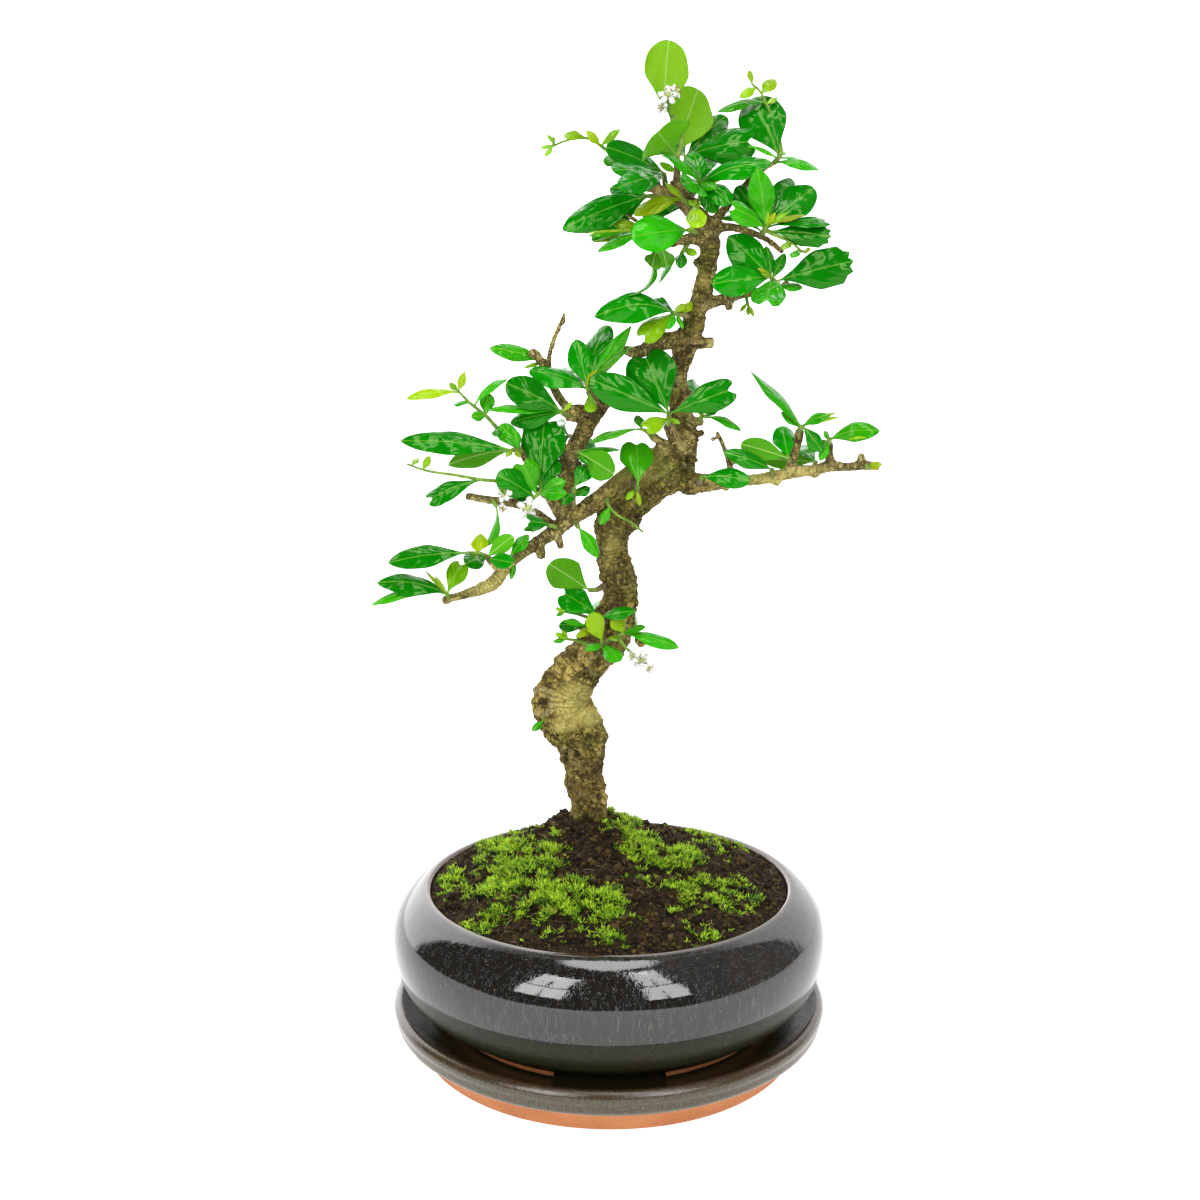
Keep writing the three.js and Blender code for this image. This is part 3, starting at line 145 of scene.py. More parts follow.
class Build:
    """Gathers points, faces and values per point, and makes one mesh piece from them."""

    def __init__(self, **values):
        self.widths = values
        self.points, self.faces, self.slots = [], [], []
        self.values = {name: [] for name in values}
        self.count = 0

    def add(self, points, faces, slot=0, **values):
        points = np.asarray(points, float).reshape(-1, 3)
        for name, width in self.widths.items():
            given = np.asarray(values.get(name, np.zeros(width)), float)
            self.values[name].append(np.broadcast_to(given, (len(points), width)))
        for group in faces if isinstance(faces, list) else [faces]:
            group = np.asarray(group, int)
            self.faces.append(group + self.count)
            self.slots.append(np.full(len(group), slot))
        self.points.append(points)
        self.count += len(points)

    def more_faces(self, faces, slot, back):
        """Faces with another material on the last points, as many as back says."""
        self.faces.append(np.asarray(faces, int) + self.count - back)
        self.slots.append(np.full(len(faces), slot))

    def mesh(self, name):
        mesh = bpy.data.meshes.new(name)
        points = np.vstack(self.points) * MM
        corners = np.concatenate([group.ravel() for group in self.faces])
        sizes = np.concatenate([np.full(len(group), group.shape[1]) for group in self.faces])
        mesh.vertices.add(len(points))
        mesh.vertices.foreach_set("co", points.ravel())
        mesh.loops.add(len(corners))
        mesh.loops.foreach_set("vertex_index", corners)
        mesh.polygons.add(len(sizes))
        mesh.polygons.foreach_set("loop_start", np.concatenate([[0], np.cumsum(sizes)[:-1]]))
        mesh.polygons.foreach_set("material_index", np.concatenate(self.slots))
        mesh.polygons.foreach_set("use_smooth", np.ones(len(sizes), bool))
        mesh.update(calc_edges=True)
        for value, lists in self.values.items():
            store(mesh, value, np.vstack(lists))
        mesh.validate()
        return mesh

    def piece(self, name, materials, slot, nodes):
        piece(name, self.mesh(name), materials, nodes)


def piece(name, mesh, materials, nodes):
    """A mesh as a piece of the object: it rides on the root and stands for its nodes."""
    made = bpy.data.objects.new(name, mesh)
    bpy.context.scene.collection.objects.link(made)
    for material in materials:
        mesh.materials.append(material)
    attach(made, "root")
    if nodes:
        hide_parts(*nodes)


def bands(rings, sides):
    """Faces between each ring of points and the next."""
    i, j = np.meshgrid(np.arange(rings - 1), np.arange(sides), indexing="ij")
    a, b = i * sides + j, i * sides + (j + 1) % sides
    return np.stack([a, a + sides, b + sides, b], axis=-1).reshape(-1, 4)


def fan(middle, ring, sides):
    """Faces from a middle point to a ring, by the numbers of that point and the ring's first."""
    k = np.arange(sides)
    return np.column_stack([np.full(sides, middle), ring + k, ring + (k + 1) % sides])


def tube(path, sides, swell=None):
    """Points and faces of a closed round bar. A row of path is a place and a radius."""
    middle, radii = path[:, :3], path[:, 3]
    along = unit(np.gradient(middle, axis=0))
    across = np.zeros_like(along)
    start = np.array([0.0, 1.0, 0.0]) if abs(along[0, 1]) < 0.8 else np.array([1.0, 0.0, 0.0])
    for i, way in enumerate(along):
        start = unit(start - way * (start @ way))
        across[i] = start
    other = np.cross(along, across)
    turn = 2 * math.pi * np.arange(sides) / sides
    reach = np.broadcast_to(radii[:, None], (len(path), sides))
    if swell is not None:
        reach = reach * swell
    ring = np.cos(turn)[:, None] * across[:, None] + np.sin(turn)[:, None] * other[:, None]
    points = (middle[:, None] + reach[..., None] * ring).reshape(-1, 3)
    walls = bands(len(path), sides)[:, [0, 3, 2, 1]]
    tips = [middle[0] - along[0] * radii[0] * 0.4, middle[-1] + along[-1] * radii[-1] * 0.4]
    first, last = len(points), (len(path) - 1) * sides
    ends = [fan(first, 0, sides)[:, [1, 0, 2]], fan(first + 1, last, sides)[:, [1, 2, 0]]]
    return np.vstack([points, tips]), [walls, np.vstack(ends)]


def ball(rings, sides):
    """A round ball of radius 1, as points and faces."""
    tilt = math.pi * np.arange(1, rings) / rings
    turn = 2 * math.pi * np.arange(sides) / sides
    ring = [[math.sin(p) * math.cos(t), math.sin(p) * math.sin(t), math.cos(p)] for p in tilt for t in turn]
    points = np.array([*ring, [0, 0, 1], [0, 0, -1]])
    top, bottom, last = len(ring), len(ring) + 1, (rings - 2) * sides
    ends = [fan(top, 0, sides), fan(bottom, last, sides)[:, [0, 2, 1]]]
    return points, [bands(rings - 1, sides), np.vstack(ends)]


def lathe(outline, sides, wobble):
    """Points and faces of a closed outline of radius and height, turned about Z and bent by wobble."""
    outline = np.asarray(outline, float)
    turn = 2 * math.pi * np.arange(sides) / sides
    ring = np.column_stack([np.cos(turn), np.sin(turn)])
    flat = outline[:, None, :1] * ring[None]
    points = np.concatenate([flat, np.broadcast_to(outline[:, None, 1:], flat.shape[:2] + (1,))], axis=2)
    points = wobble(points.reshape(-1, 3))
    count = len(outline)
    return points, bands(count + 1, sides)[:, [0, 3, 2, 1]] % (count * sides)


class Nodes:
    """Fills a tree with nodes. Its methods give sockets, which feed one another."""

    def __init__(self, owner):
        owner.use_nodes = True
        self.tree = owner.node_tree
        self.tree.nodes.clear()

    def node(self, kind, inputs=None, output=0, **settings):
        made = self.tree.nodes.new("ShaderNode" + kind)
        for name, value in settings.items():
            setattr(made, name, value)
        for key, value in (inputs or {}).items():
            self.feed(made.inputs[key], value)
        return made.outputs[output]

    def feed(self, socket, value):
        if isinstance(value, bpy.types.NodeSocket):
            self.tree.links.new(value, socket)
        elif np.ndim(value) and len(socket.default_value) == 4:
            socket.default_value = (*value, 1.0)
        else:
            socket.default_value = value

    def math(self, operation, a, b=0.0):
        return self.node("Math", {0: a, 1: b}, operation=operation)

    def times(self, a, b):
        return self.math("MULTIPLY", a, b)

    def plus(self, a, b):
        return self.math("ADD", a, b)

    def minus(self, a, b):
        return self.math("SUBTRACT", a, b)

    def most(self, a, b):
        return self.math("MAXIMUM", a, b)

    def ramp(self, value, low, high, start=0.0, end=1.0):
        inputs = {"Value": value, "From Min": low, "From Max": high, "To Min": start, "To Max": end}
        return self.node("MapRange", inputs, interpolation_type="SMOOTHSTEP")

    def part(self, vector, axis):
        return self.node("SeparateXYZ", {0: vector}, output=axis)

    def output(self, kind, shader):
        self.tree.links.new(shader, self.tree.nodes.new("ShaderNodeOutput" + kind).inputs["Surface"])


class Shader(Nodes):
    """Makes a material. Its place is a point of the object, in metres."""

    def __init__(self, name):
        self.material = bpy.data.materials.new(name)
        super().__init__(self.material)
        self.place = self.node("TexCoord", output="Object")

    def uneven(self, per_metre, least, most):
        """A value that wanders between least and most."""
        return self.ramp(self.noise(per_metre), 0.3, 0.7, least, most)

    def grey(self, value):
        return self.node("CombineColor", {0: value, 1: value, 2: value})

    def mix(self, part, a, b, blend="MIX"):
        return self.node("Mix", {"Factor": part, 6: a, 7: b}, output=2, data_type="RGBA", blend_type=blend)

    def scaled(self, x, y, z):
        return self.node("Mapping", {"Vector": self.place, "Scale": (x, y, z)})

    def noise(self, per_metre, detail=2.0, rough=0.5, vector=None):
        inputs = {"Vector": self.place if vector is None else vector, "Scale": per_metre}
        inputs.update({"Detail": detail, "Roughness": rough})
        return self.node("TexNoise", inputs)

    def cells(self, per_metre, vector=None, feature="F1"):
        inputs = {"Vector": self.place if vector is None else vector, "Scale": per_metre}
        return self.node("TexVoronoi", inputs, feature=feature)

    def value(self, name):
        return self.node("Attribute", output="Vector", attribute_name=name)

    def bump(self, height, distance, strength=1.0, normal=None):
        inputs = {"Height": height, "Distance": distance, "Strength": strength}
        if normal is not None:
            inputs["Normal"] = normal
        return self.node("Bump", inputs)

    def surface(self, color, roughness, normal=None, **constants):
        inputs = {"Base Color": color, "Roughness": roughness}
        if normal is not None:
            inputs["Normal"] = normal
        inputs.update({name.replace("_", " "): value for name, value in constants.items()})
        self.output("Material", self.node("BsdfPrincipled", inputs))
        return self.material


# Camera, floor and light


def aim(thing, spot, target):
    """Puts a light at spot, facing target."""
    thing.location = spot
    way = (np.asarray(target) - np.asarray(spot)).tolist()
    thing.rotation_euler = Vector(way).to_track_quat("-Z", "Y").to_euler()


SENSOR = 36.0


def make_camera():
    data = bpy.data.cameras.new("camera")
    data.sensor_width = SENSOR
    data.lens = SENSOR * FOCAL / FRAME
    data.clip_start, data.clip_end = 0.02, 60.0
    camera = bpy.data.objects.new("camera", data)
    camera.location = (EYE * MM).tolist()
    camera.rotation_euler = (math.pi / 2 - PITCH, 0.0, 0.0)
    bpy.context.scene.collection.objects.link(camera)
    bpy.context.scene.camera = camera


WINDOWS = [  # Middle by azimuth from the front and height, in degrees, then the span of each, and brightness
    (-37.0, 38.0, 27.0, 42.0, 9.0),
    (31.0, 44.0, 25.0, 56.0, 8.0),
]
WINDOW_DISTANCE = 2.2
POT_FRONT = np.array([0.0, -0.09, 0.06])


def make_pane(name, middle, width, height, radiance):
    """A rectangular light at a place relative to the pot's front, which it faces."""
    data = bpy.data.lights.new(name, "AREA")
    data.shape = "RECTANGLE"
    data.size, data.size_y = width, height
    data.energy = radiance * math.pi * width * height
    light = bpy.data.objects.new(name, data)
    bpy.context.scene.collection.objects.link(light)
    aim(light, POT_FRONT + middle, POT_FRONT)


def make_windows():
    for number, (azimuth, tilt, wide, high, radiance) in enumerate(WINDOWS):
        for column in (-1, 1):
            for row in (-1, 1):
                a = math.radians(azimuth + column * wide / 4)
                e = math.radians(tilt + row * high / 4)
                way = np.array([math.sin(a) * math.cos(e), -math.cos(a) * math.cos(e), math.sin(e)])
                width = 2 * WINDOW_DISTANCE * math.cos(e) * math.tan(math.radians(wide / 4)) * 0.92
                height = 2 * WINDOW_DISTANCE * math.tan(math.radians(high / 4)) * 0.93
                make_pane(f"window_{number}_{column}_{row}", way * WINDOW_DISTANCE, width, height, radiance)


DARK_ROOM = 0.11
LIT_WALL = 0.38
LIT_CEILING = 7.0
BRIGHT_LEFT, BRIGHT_RIGHT = 3.3, 2.0
UPPER_WALL = 0.7
BELOW_FLOOR = 2.0
# Azimuths from the front in radians, and slopes up, between which a part of the room turns into the next
ROOM_CORNER, SIDE_LIGHT, LEFT_TO_RIGHT = (0.74, 0.80), (2.00, 2.05), (-0.3, 0.3)
WALL_TOP, CEILING, HORIZON = (0.70, 0.88), (0.970, 0.978), (-0.02, 0.0)


def make_world():
    """A dim room in front, bright at both sides, behind and straight above."""
    world = bpy.data.worlds.new("studio")
    bpy.context.scene.world = world
    sky = Nodes(world)

    def mix(part, a, b):
        return sky.node("Mix", {"Factor": part, 2: a, 3: b}, data_type="FLOAT")

    way = sky.node("TexCoord")
    east, north, up = (sky.part(way, k) for k in range(3))
    azimuth = sky.math("ARCTAN2", east, sky.times(north, -1.0))
    turned_away = sky.math("ABSOLUTE", azimuth)
    wall = sky.ramp(azimuth, *ROOM_CORNER, DARK_ROOM, LIT_WALL)
    side = sky.ramp(azimuth, *LEFT_TO_RIGHT, BRIGHT_LEFT, BRIGHT_RIGHT)
    side = mix(sky.ramp(up, *WALL_TOP), side, UPPER_WALL)
    around = mix(sky.ramp(turned_away, *SIDE_LIGHT), wall, side)
    strength = mix(sky.ramp(up, *CEILING), around, LIT_CEILING)
    strength = mix(sky.ramp(up, *HORIZON, 1.0, 0.0), strength, BELOW_FLOOR)
    sky.output("World", sky.node("Background", {"Color": (1.0, 1.0, 1.0), "Strength": strength}))


def make_floor():
    shader = Shader("floor")
    color = shader.grey(shader.uneven(1.2, 0.60, 0.62))
    material = shader.surface(color, 0.7, Emission_Color=(1.0, 1.0, 1.0), Emission_Strength=0.85)
    mesh = bpy.data.meshes.new("floor")
    half = 7.0
    corners = [(-half, -half, 0), (half, -half, 0), (half, half, 0), (-half, half, 0)]
    mesh.from_pydata(corners, [], [(0, 1, 2, 3)])
    mesh.materials.append(material)
    floor = bpy.data.objects.new("floor", mesh)
    bpy.context.scene.collection.objects.link(floor)


# Saucer and pot

SEAT_GAP = 0.3
SAUCER_FLOOR = 14.5
POT_BASE = SAUCER_FLOOR + SEAT_GAP
POT_UNDERSIDE = POT_BASE + 3.7
POT_FLOOR = POT_UNDERSIDE + 6.5
POT_MOUTH_RADIUS = 79.4
POT_RIM_HEIGHT = 73.4
DRAIN_HOLE_RADIUS = 8.0
FOOT_RADII = (63.7, 73.2)
NOTCH_HALF = 23.0
LATHE_SIDES = 200

SAUCER_OUTLINE = [
    [0.5, 0.0], [30, 0.0], [60, 0.0], [82.8, 0.0], [84.3, 0.4], [85.2, 1.8], [87.2, 5.2], [89.4, 8.7],
    [91.4, 10.6], [94.0, 11.9], [95.6, 13.2], [96.2, 14.8], [96.0, 16.2], [96.5, 17.6], [97.1, 19.0],
    [97.0, 20.4], [96.3, 21.7], [95.2, 22.6], [94.0, 22.9], [92.9, 22.3], [91.8, 20.8], [90.6, 19.0],
    [88.8, 17.4], [86.4, 15.9], [83.6, 14.9], [80, 14.5], [60, 14.5], [30, 14.5], [0.5, 14.5],
]
POT_WALL_OUTLINE = [
    [75.2, POT_UNDERSIDE], [77.2, 19.5], [81.2, 22.4], [87.0, 26.4], [92.4, 32.5], [95.8, 41], [97.0, 50],
    [96.5, 56.5], [94.3, 62.5], [90.5, 67.6], [86.7, 70.9], [83.6, 72.7], [81.8, 73.2], [80.3, 72.8],
    [79.6, 71.6], [81.2, 69.4], [83.9, 66.6], [87.3, 61.8], [89.8, 56.5], [90.6, 50], [88.4, 42],
    [84.2, 35], [77.5, 28.8], [67.4, POT_FLOOR],
]


def slow_bends(points, much, size, seed):
    """Moves points of a thrown pot in or out a little, so that it isn't quite true."""
    radius = np.hypot(points[:, 0], points[:, 1])
    shift = noise(points, size, seed) * much
    points = points.copy()
    points[:, :2] *= ((radius - np.abs(shift)) / np.maximum(radius, 1e-6))[:, None]
    return points


# Heights and radii, in metres, between which one look of the glaze gives way to the next
# The first pair marks the pot's lower wall, painted as in shade with darker, duller glaze
SHADED_LOW_GLAZE = (0.0430, 0.0405)
RIM_HEIGHTS, RIM_RADII = (0.0705, 0.0728), (0.0835, 0.0815)
BARE_FOOT = (0.0203, 0.0196)
WRINKLED_WALL = (0.055, 0.064)
GLAZE_WANDER = 0.0052
SAUCER_OUTSIDE = (0.0805, 0.0815)
SAUCER_GLAZE_EDGE = (0.0094, 0.0101)
SAUCER_FLOOR_HEIGHTS, SAUCER_FLOOR_RADII = (0.0135, 0.0142), (0.0925, 0.0915)
SAUCER_CREST = (0.0196, 0.0222)
SAUCER_BAND = ((0.0091, 0.0099), (0.0120, 0.0102))


def glaze_shader(name):
    """A shader, with the height and the distance from the middle of its points."""
    shader = Shader(name)
    radius = shader.node("VectorMath", {0: shader.scaled(1, 1, 0)}, output=1, operation="LENGTH")
    return shader, shader.part(shader.place, 2), radius


def clay_color(shader):
    """Orange clay, clouded and with darker grains."""
    grain = shader.noise(900, 4, 0.7)
    cloud = shader.noise(45, 3)
    warm = shader.mix(shader.ramp(cloud, 0.3, 0.7), (0.41, 0.135, 0.033), (0.49, 0.185, 0.055))
    return shader.mix(shader.ramp(grain, 0.35, 0.75, 0.0, 0.5), warm, (0.28, 0.080, 0.020))


def pot_material(name, ior):
    """Near-black glaze, streaked blue and flecked tan, rusty at the rim, bare at the foot, and olive low
    down, where painted shade makes it darker and duller.
    """
    shader, height, radius = glaze_shader(name)
    fine = shader.noise(2300, 2, 0.6, shader.scaled(1, 1, 0.08))
    broad = shader.noise(520, 3, 0.6, shader.scaled(1, 1, 0.14))
    cloud = shader.noise(38, 4, 0.6)
    streak = shader.times(shader.ramp(fine, 0.48, 0.70), shader.ramp(broad, 0.34, 0.66))
    # Low down the glaze is painted as in shade: darkened olive speckle, fewer pale streaks, and rougher
    low = shader.ramp(height, *SHADED_LOW_GLAZE)
    deep = shader.mix(low, (0.0060, 0.0042, 0.0030), (0.0085, 0.0085, 0.0030))
    deep = shader.mix(shader.ramp(cloud, 0.50, 0.75, 0.0, 0.5), deep, (0.017, 0.008, 0.0035))
    shown = shader.times(streak, shader.ramp(height, *SHADED_LOW_GLAZE[::-1], 0.12, 0.62))
    blue = shader.mix(shown, deep, (0.080, 0.100, 0.100))
    pale = shader.times(shader.ramp(fine, 0.66, 0.78), shader.ramp(broad, 0.52, 0.70))
    blue = shader.mix(shader.times(pale, 0.55), blue, (0.15, 0.17, 0.16))
    dots = shader.cells(640, shader.scaled(1, 1, 0.6))
    chosen = shader.ramp(shader.noise(360, 1), 0.62, 0.68)
    fleck = shader.times(shader.ramp(dots, 0.26, 0.14), chosen)
    tan = shader.mix(shader.times(fleck, 0.6), blue, (0.17, 0.13, 0.07))
    speckle = shader.times(shader.ramp(shader.noise(1500, 2, 0.6), 0.50, 0.66), low)
    olive = shader.mix(shader.times(speckle, 0.75), tan, (0.030, 0.031, 0.010))
    edge = shader.times(shader.ramp(height, *RIM_HEIGHTS), shader.ramp(radius, *RIM_RADII))
    rim = shader.times(edge, shader.ramp(shader.noise(160, 3), 0.32, 0.56, 0.25, 0.9))
    rusty = shader.mix(rim, olive, (0.055, 0.024, 0.010))
    uneven = shader.plus(height, shader.times(shader.noise(60, 2), 0.0012))
    bare = shader.ramp(uneven, *BARE_FOOT)
    color = shader.mix(bare, rusty, clay_color(shader))
    matte = shader.plus(shader.ramp(fine, 0.3, 0.8, 0.025, 0.06), shader.times(streak, 0.08))
    dull = shader.most(shader.times(low, 0.40), shader.times(bare, 0.8))
    rough = shader.most(matte, dull)
    peel = shader.noise(210, 2, 0.45)
    wrinkled = shader.times(shader.ramp(height, *WRINKLED_WALL), shader.ramp(shader.noise(22, 2), 0.5, 0.62))
    wrinkle = shader.times(shader.noise(330, 3, 0.6, shader.scaled(1, 1, 0.4)), wrinkled)
    holes = shader.times(shader.ramp(shader.cells(300), 0.10, 0.03), -1.0)
    chosen_holes = shader.times(holes, shader.ramp(shader.noise(50, 1), 0.60, 0.66))
    waves = shader.bump(shader.plus(shader.times(peel, 0.40), wrinkle), 0.00030, 0.30)
    relief = shader.plus(shader.times(streak, 0.2), chosen_holes)
    normal = shader.bump(relief, 0.00010, 0.35, waves)
    return shader.surface(color, rough, normal, IOR=ior)


def saucer_material():
    """Olive-brown glaze, dark inside and rusty on the crest, over bare clay."""
    shader, height, radius = glaze_shader("saucer_glaze")
    wander = shader.times(shader.minus(shader.noise(26, 4, 0.6), 0.5), GLAZE_WANDER)
    level = shader.plus(height, wander)
    outside = shader.ramp(radius, *SAUCER_OUTSIDE)
    glazed = shader.times(shader.ramp(level, *SAUCER_GLAZE_EDGE), outside)
    inside = shader.times(shader.ramp(height, *SAUCER_FLOOR_HEIGHTS),
                          shader.ramp(radius, *SAUCER_FLOOR_RADII))
    glazed = shader.most(glazed, inside)
    streak = shader.ramp(shader.noise(1200, 4, 0.7, shader.scaled(1, 1, 0.5)), 0.38, 0.66)
    olive = shader.mix(streak, (0.024, 0.018, 0.007), (0.070, 0.052, 0.022))
    speck = shader.ramp(shader.noise(1700, 1), 0.60, 0.72)
    olive = shader.mix(shader.times(speck, 0.5), olive, (0.15, 0.14, 0.09))
    crest = shader.times(shader.ramp(level, *SAUCER_CREST),
                        shader.ramp(shader.noise(160, 3, 0.6), 0.30, 0.56, 0.15, 0.95))
    rusty = shader.mix(shader.times(crest, 0.8), olive, (0.036, 0.017, 0.008))
    dark = shader.mix(shader.times(inside, 0.85), rusty, (0.014, 0.014, 0.006))
    band = shader.times(*(shader.ramp(level, *edge) for edge in SAUCER_BAND))
    color = shader.mix(glazed, clay_color(shader), dark)
    color = shader.mix(shader.times(band, 0.5), color, (0.16, 0.08, 0.035))
    gloss = shader.ramp(shader.noise(1100, 2), 0.35, 0.7, 0.06, 0.20)
    rough = shader.mix(glazed, (0.82, 0.82, 0.82), shader.grey(gloss))
    grain = shader.bump(shader.noise(1400, 3, 0.7), 0.00018, 0.5)
    pitted = shader.times(shader.noise(520, 3, 0.6), glazed)
    normal = shader.bump(shader.plus(glazed, shader.times(pitted, 0.7)), 0.00035, 0.5, grain)
    return shader.surface(color, rough, normal, IOR=1.54)


def make_saucer():
    build = Build()
    outline = flow([[r, z, 0] for r, z in SAUCER_OUTLINE], 1.2)[:, :2]
    outline[:, 1] = np.maximum(outline[:, 1], 0)
    build.add(*lathe(outline, LATHE_SIDES, lambda p: slow_bends(p, 0.35, 30, 3)))
    build.piece("saucer_glazed", [saucer_material()], "saucer_glaze", ["saucer"])


def foot_arc(build, middle):
    """One of the four arcs of the foot ring, as a closed bent block."""
    inner, outer = FOOT_RADII
    steps = 24
    profile = [[inner, POT_UNDERSIDE + 0.5], [inner, POT_BASE + 0.8], [inner + 0.8, POT_BASE],
               [outer - 0.8, POT_BASE], [outer, POT_BASE + 0.8], [outer, POT_UNDERSIDE + 0.5]]
    points, faces, count = [], [], len(profile)
    for k in range(steps + 1):
        for radius, z in profile:
            span = math.pi / 4 - math.asin(NOTCH_HALF / radius)
            turn = middle + span * (2 * k / steps - 1)
            points.append([radius * math.cos(turn), radius * math.sin(turn), z])
    for k in range(steps):
        for i in range(count):
            a, b = k * count + i, k * count + (i + 1) % count
            faces.append([a, a + count, b + count, b])
    last = steps * count
    ends = [[0, 1, 2, 3], [0, 3, 4, 5],
            [last + 3, last + 2, last + 1, last], [last + 5, last + 4, last + 3, last]]
    build.add(points, np.array(faces + ends))


SHADED_WALL_TOP = 42.2  # Below it the glaze is olive, painted darker and duller as shade
# The lower wall's duller glaze reflects less, as painted shade
GLAZE_IOR, SHADED_GLAZE_IOR = 1.60, 1.25
HOLE_BEVEL = 0.6


def make_pot():
    build = Build()
    wall = flow([[r, z, 0] for r, z in POT_WALL_OUTLINE], 1.6)[:, :2]
    under = [[radius, POT_UNDERSIDE] for radius in (DRAIN_HOLE_RADIUS + HOLE_BEVEL, 30, 60, 73.4)]
    over = [[60, POT_FLOOR], [30, POT_FLOOR], [DRAIN_HOLE_RADIUS + HOLE_BEVEL, POT_FLOOR],
            [DRAIN_HOLE_RADIUS, POT_FLOOR - HOLE_BEVEL], [DRAIN_HOLE_RADIUS, POT_UNDERSIDE + HOLE_BEVEL]]
    outline = np.vstack([under, wall, over])
    points, faces = lathe(outline, LATHE_SIDES, lambda p: slow_bends(p, 0.3, 38, 5))
    # Faces of the lower wall take the duller glaze, which paints their shade
    low = points[faces][:, :, 2].mean(axis=1) < SHADED_WALL_TOP
    build.add(points, faces[~low])
    build.more_faces(faces[low], 1, len(points))
    for quarter in range(4):
        foot_arc(build, math.pi / 4 + quarter * math.pi / 2)
    materials = [pot_material("pot_glaze", GLAZE_IOR), pot_material("pot_shaded_low_glaze", SHADED_GLAZE_IOR)]
    build.piece("pot_glazed", materials, "pot_glaze", ["pot"])


def paint_drain_mesh():
    shader = Shader("drain_mesh_plastic")
    weave = shader.ramp(shader.noise(800, 3), 0.3, 0.7)
    color = shader.mix(weave, (0.015, 0.017, 0.015), (0.035, 0.04, 0.034))
    normal = shader.bump(shader.noise(1500), 0.0001, 0.4)
    material = shader.surface(color, shader.uneven(300, 0.5, 0.65), normal)
    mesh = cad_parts["drain_mesh"].data
    mesh.materials.clear()
    mesh.materials.append(material)


# Places of the wood, the stems and the leaves, read off the photograph as the solids have them

TRUNK = [
  [588, 850, 26, 9.8], [589, 832, 26, 10.2], [589, 818, 25, 9.2], [589, 800, 24, 8.7],
  [587, 785, 24, 8.5], [583, 768, 23, 9.0], [583, 752, 22, 10.4], [580, 740, 21, 11.8],
  [574, 727, 20, 12.6], [568, 715, 19, 13.4], [563, 702, 18, 13.4], [564, 691, 18, 12.2],
  [570, 681, 18, 10.8], [577, 669, 17, 10.6], [585, 660, 17, 10.4], [594, 649, 16, 11.2],
  [605, 635, 16, 10.8], [613, 622, 15, 9.6], [618, 609, 15, 8.8], [621, 592, 15, 8.3],
  [618, 573, 14, 7.6], [612, 556, 14, 7.2], [611, 540, 13, 7.4], [614, 523, 12, 8.9],
  [624, 507, 11, 9.0], [640, 494, 11, 8.6], [656, 483, 11, 9.0], [670, 470, 11, 9.6],
  [679, 455, 11, 8.0], [684, 438, 12, 5.9], [682, 420, 12, 5.0], [680, 398, 12, 4.5],
  [679, 376, 12, 3.8], [683, 353, 11, 4.9], [689, 333, 10, 5.5], [694, 317, 9, 4.7],
  [700, 300, 8, 4.3], [705, 280, 7, 4.0], [708, 262, 6, 4.4], [710, 245, 4, 4.6],
  [707, 230, 3, 4.4], [697, 216, 2, 3.8], [686, 204, 2, 3.5], [679, 192, 2, 3.6], [676, 180, 2, 3.2],
]
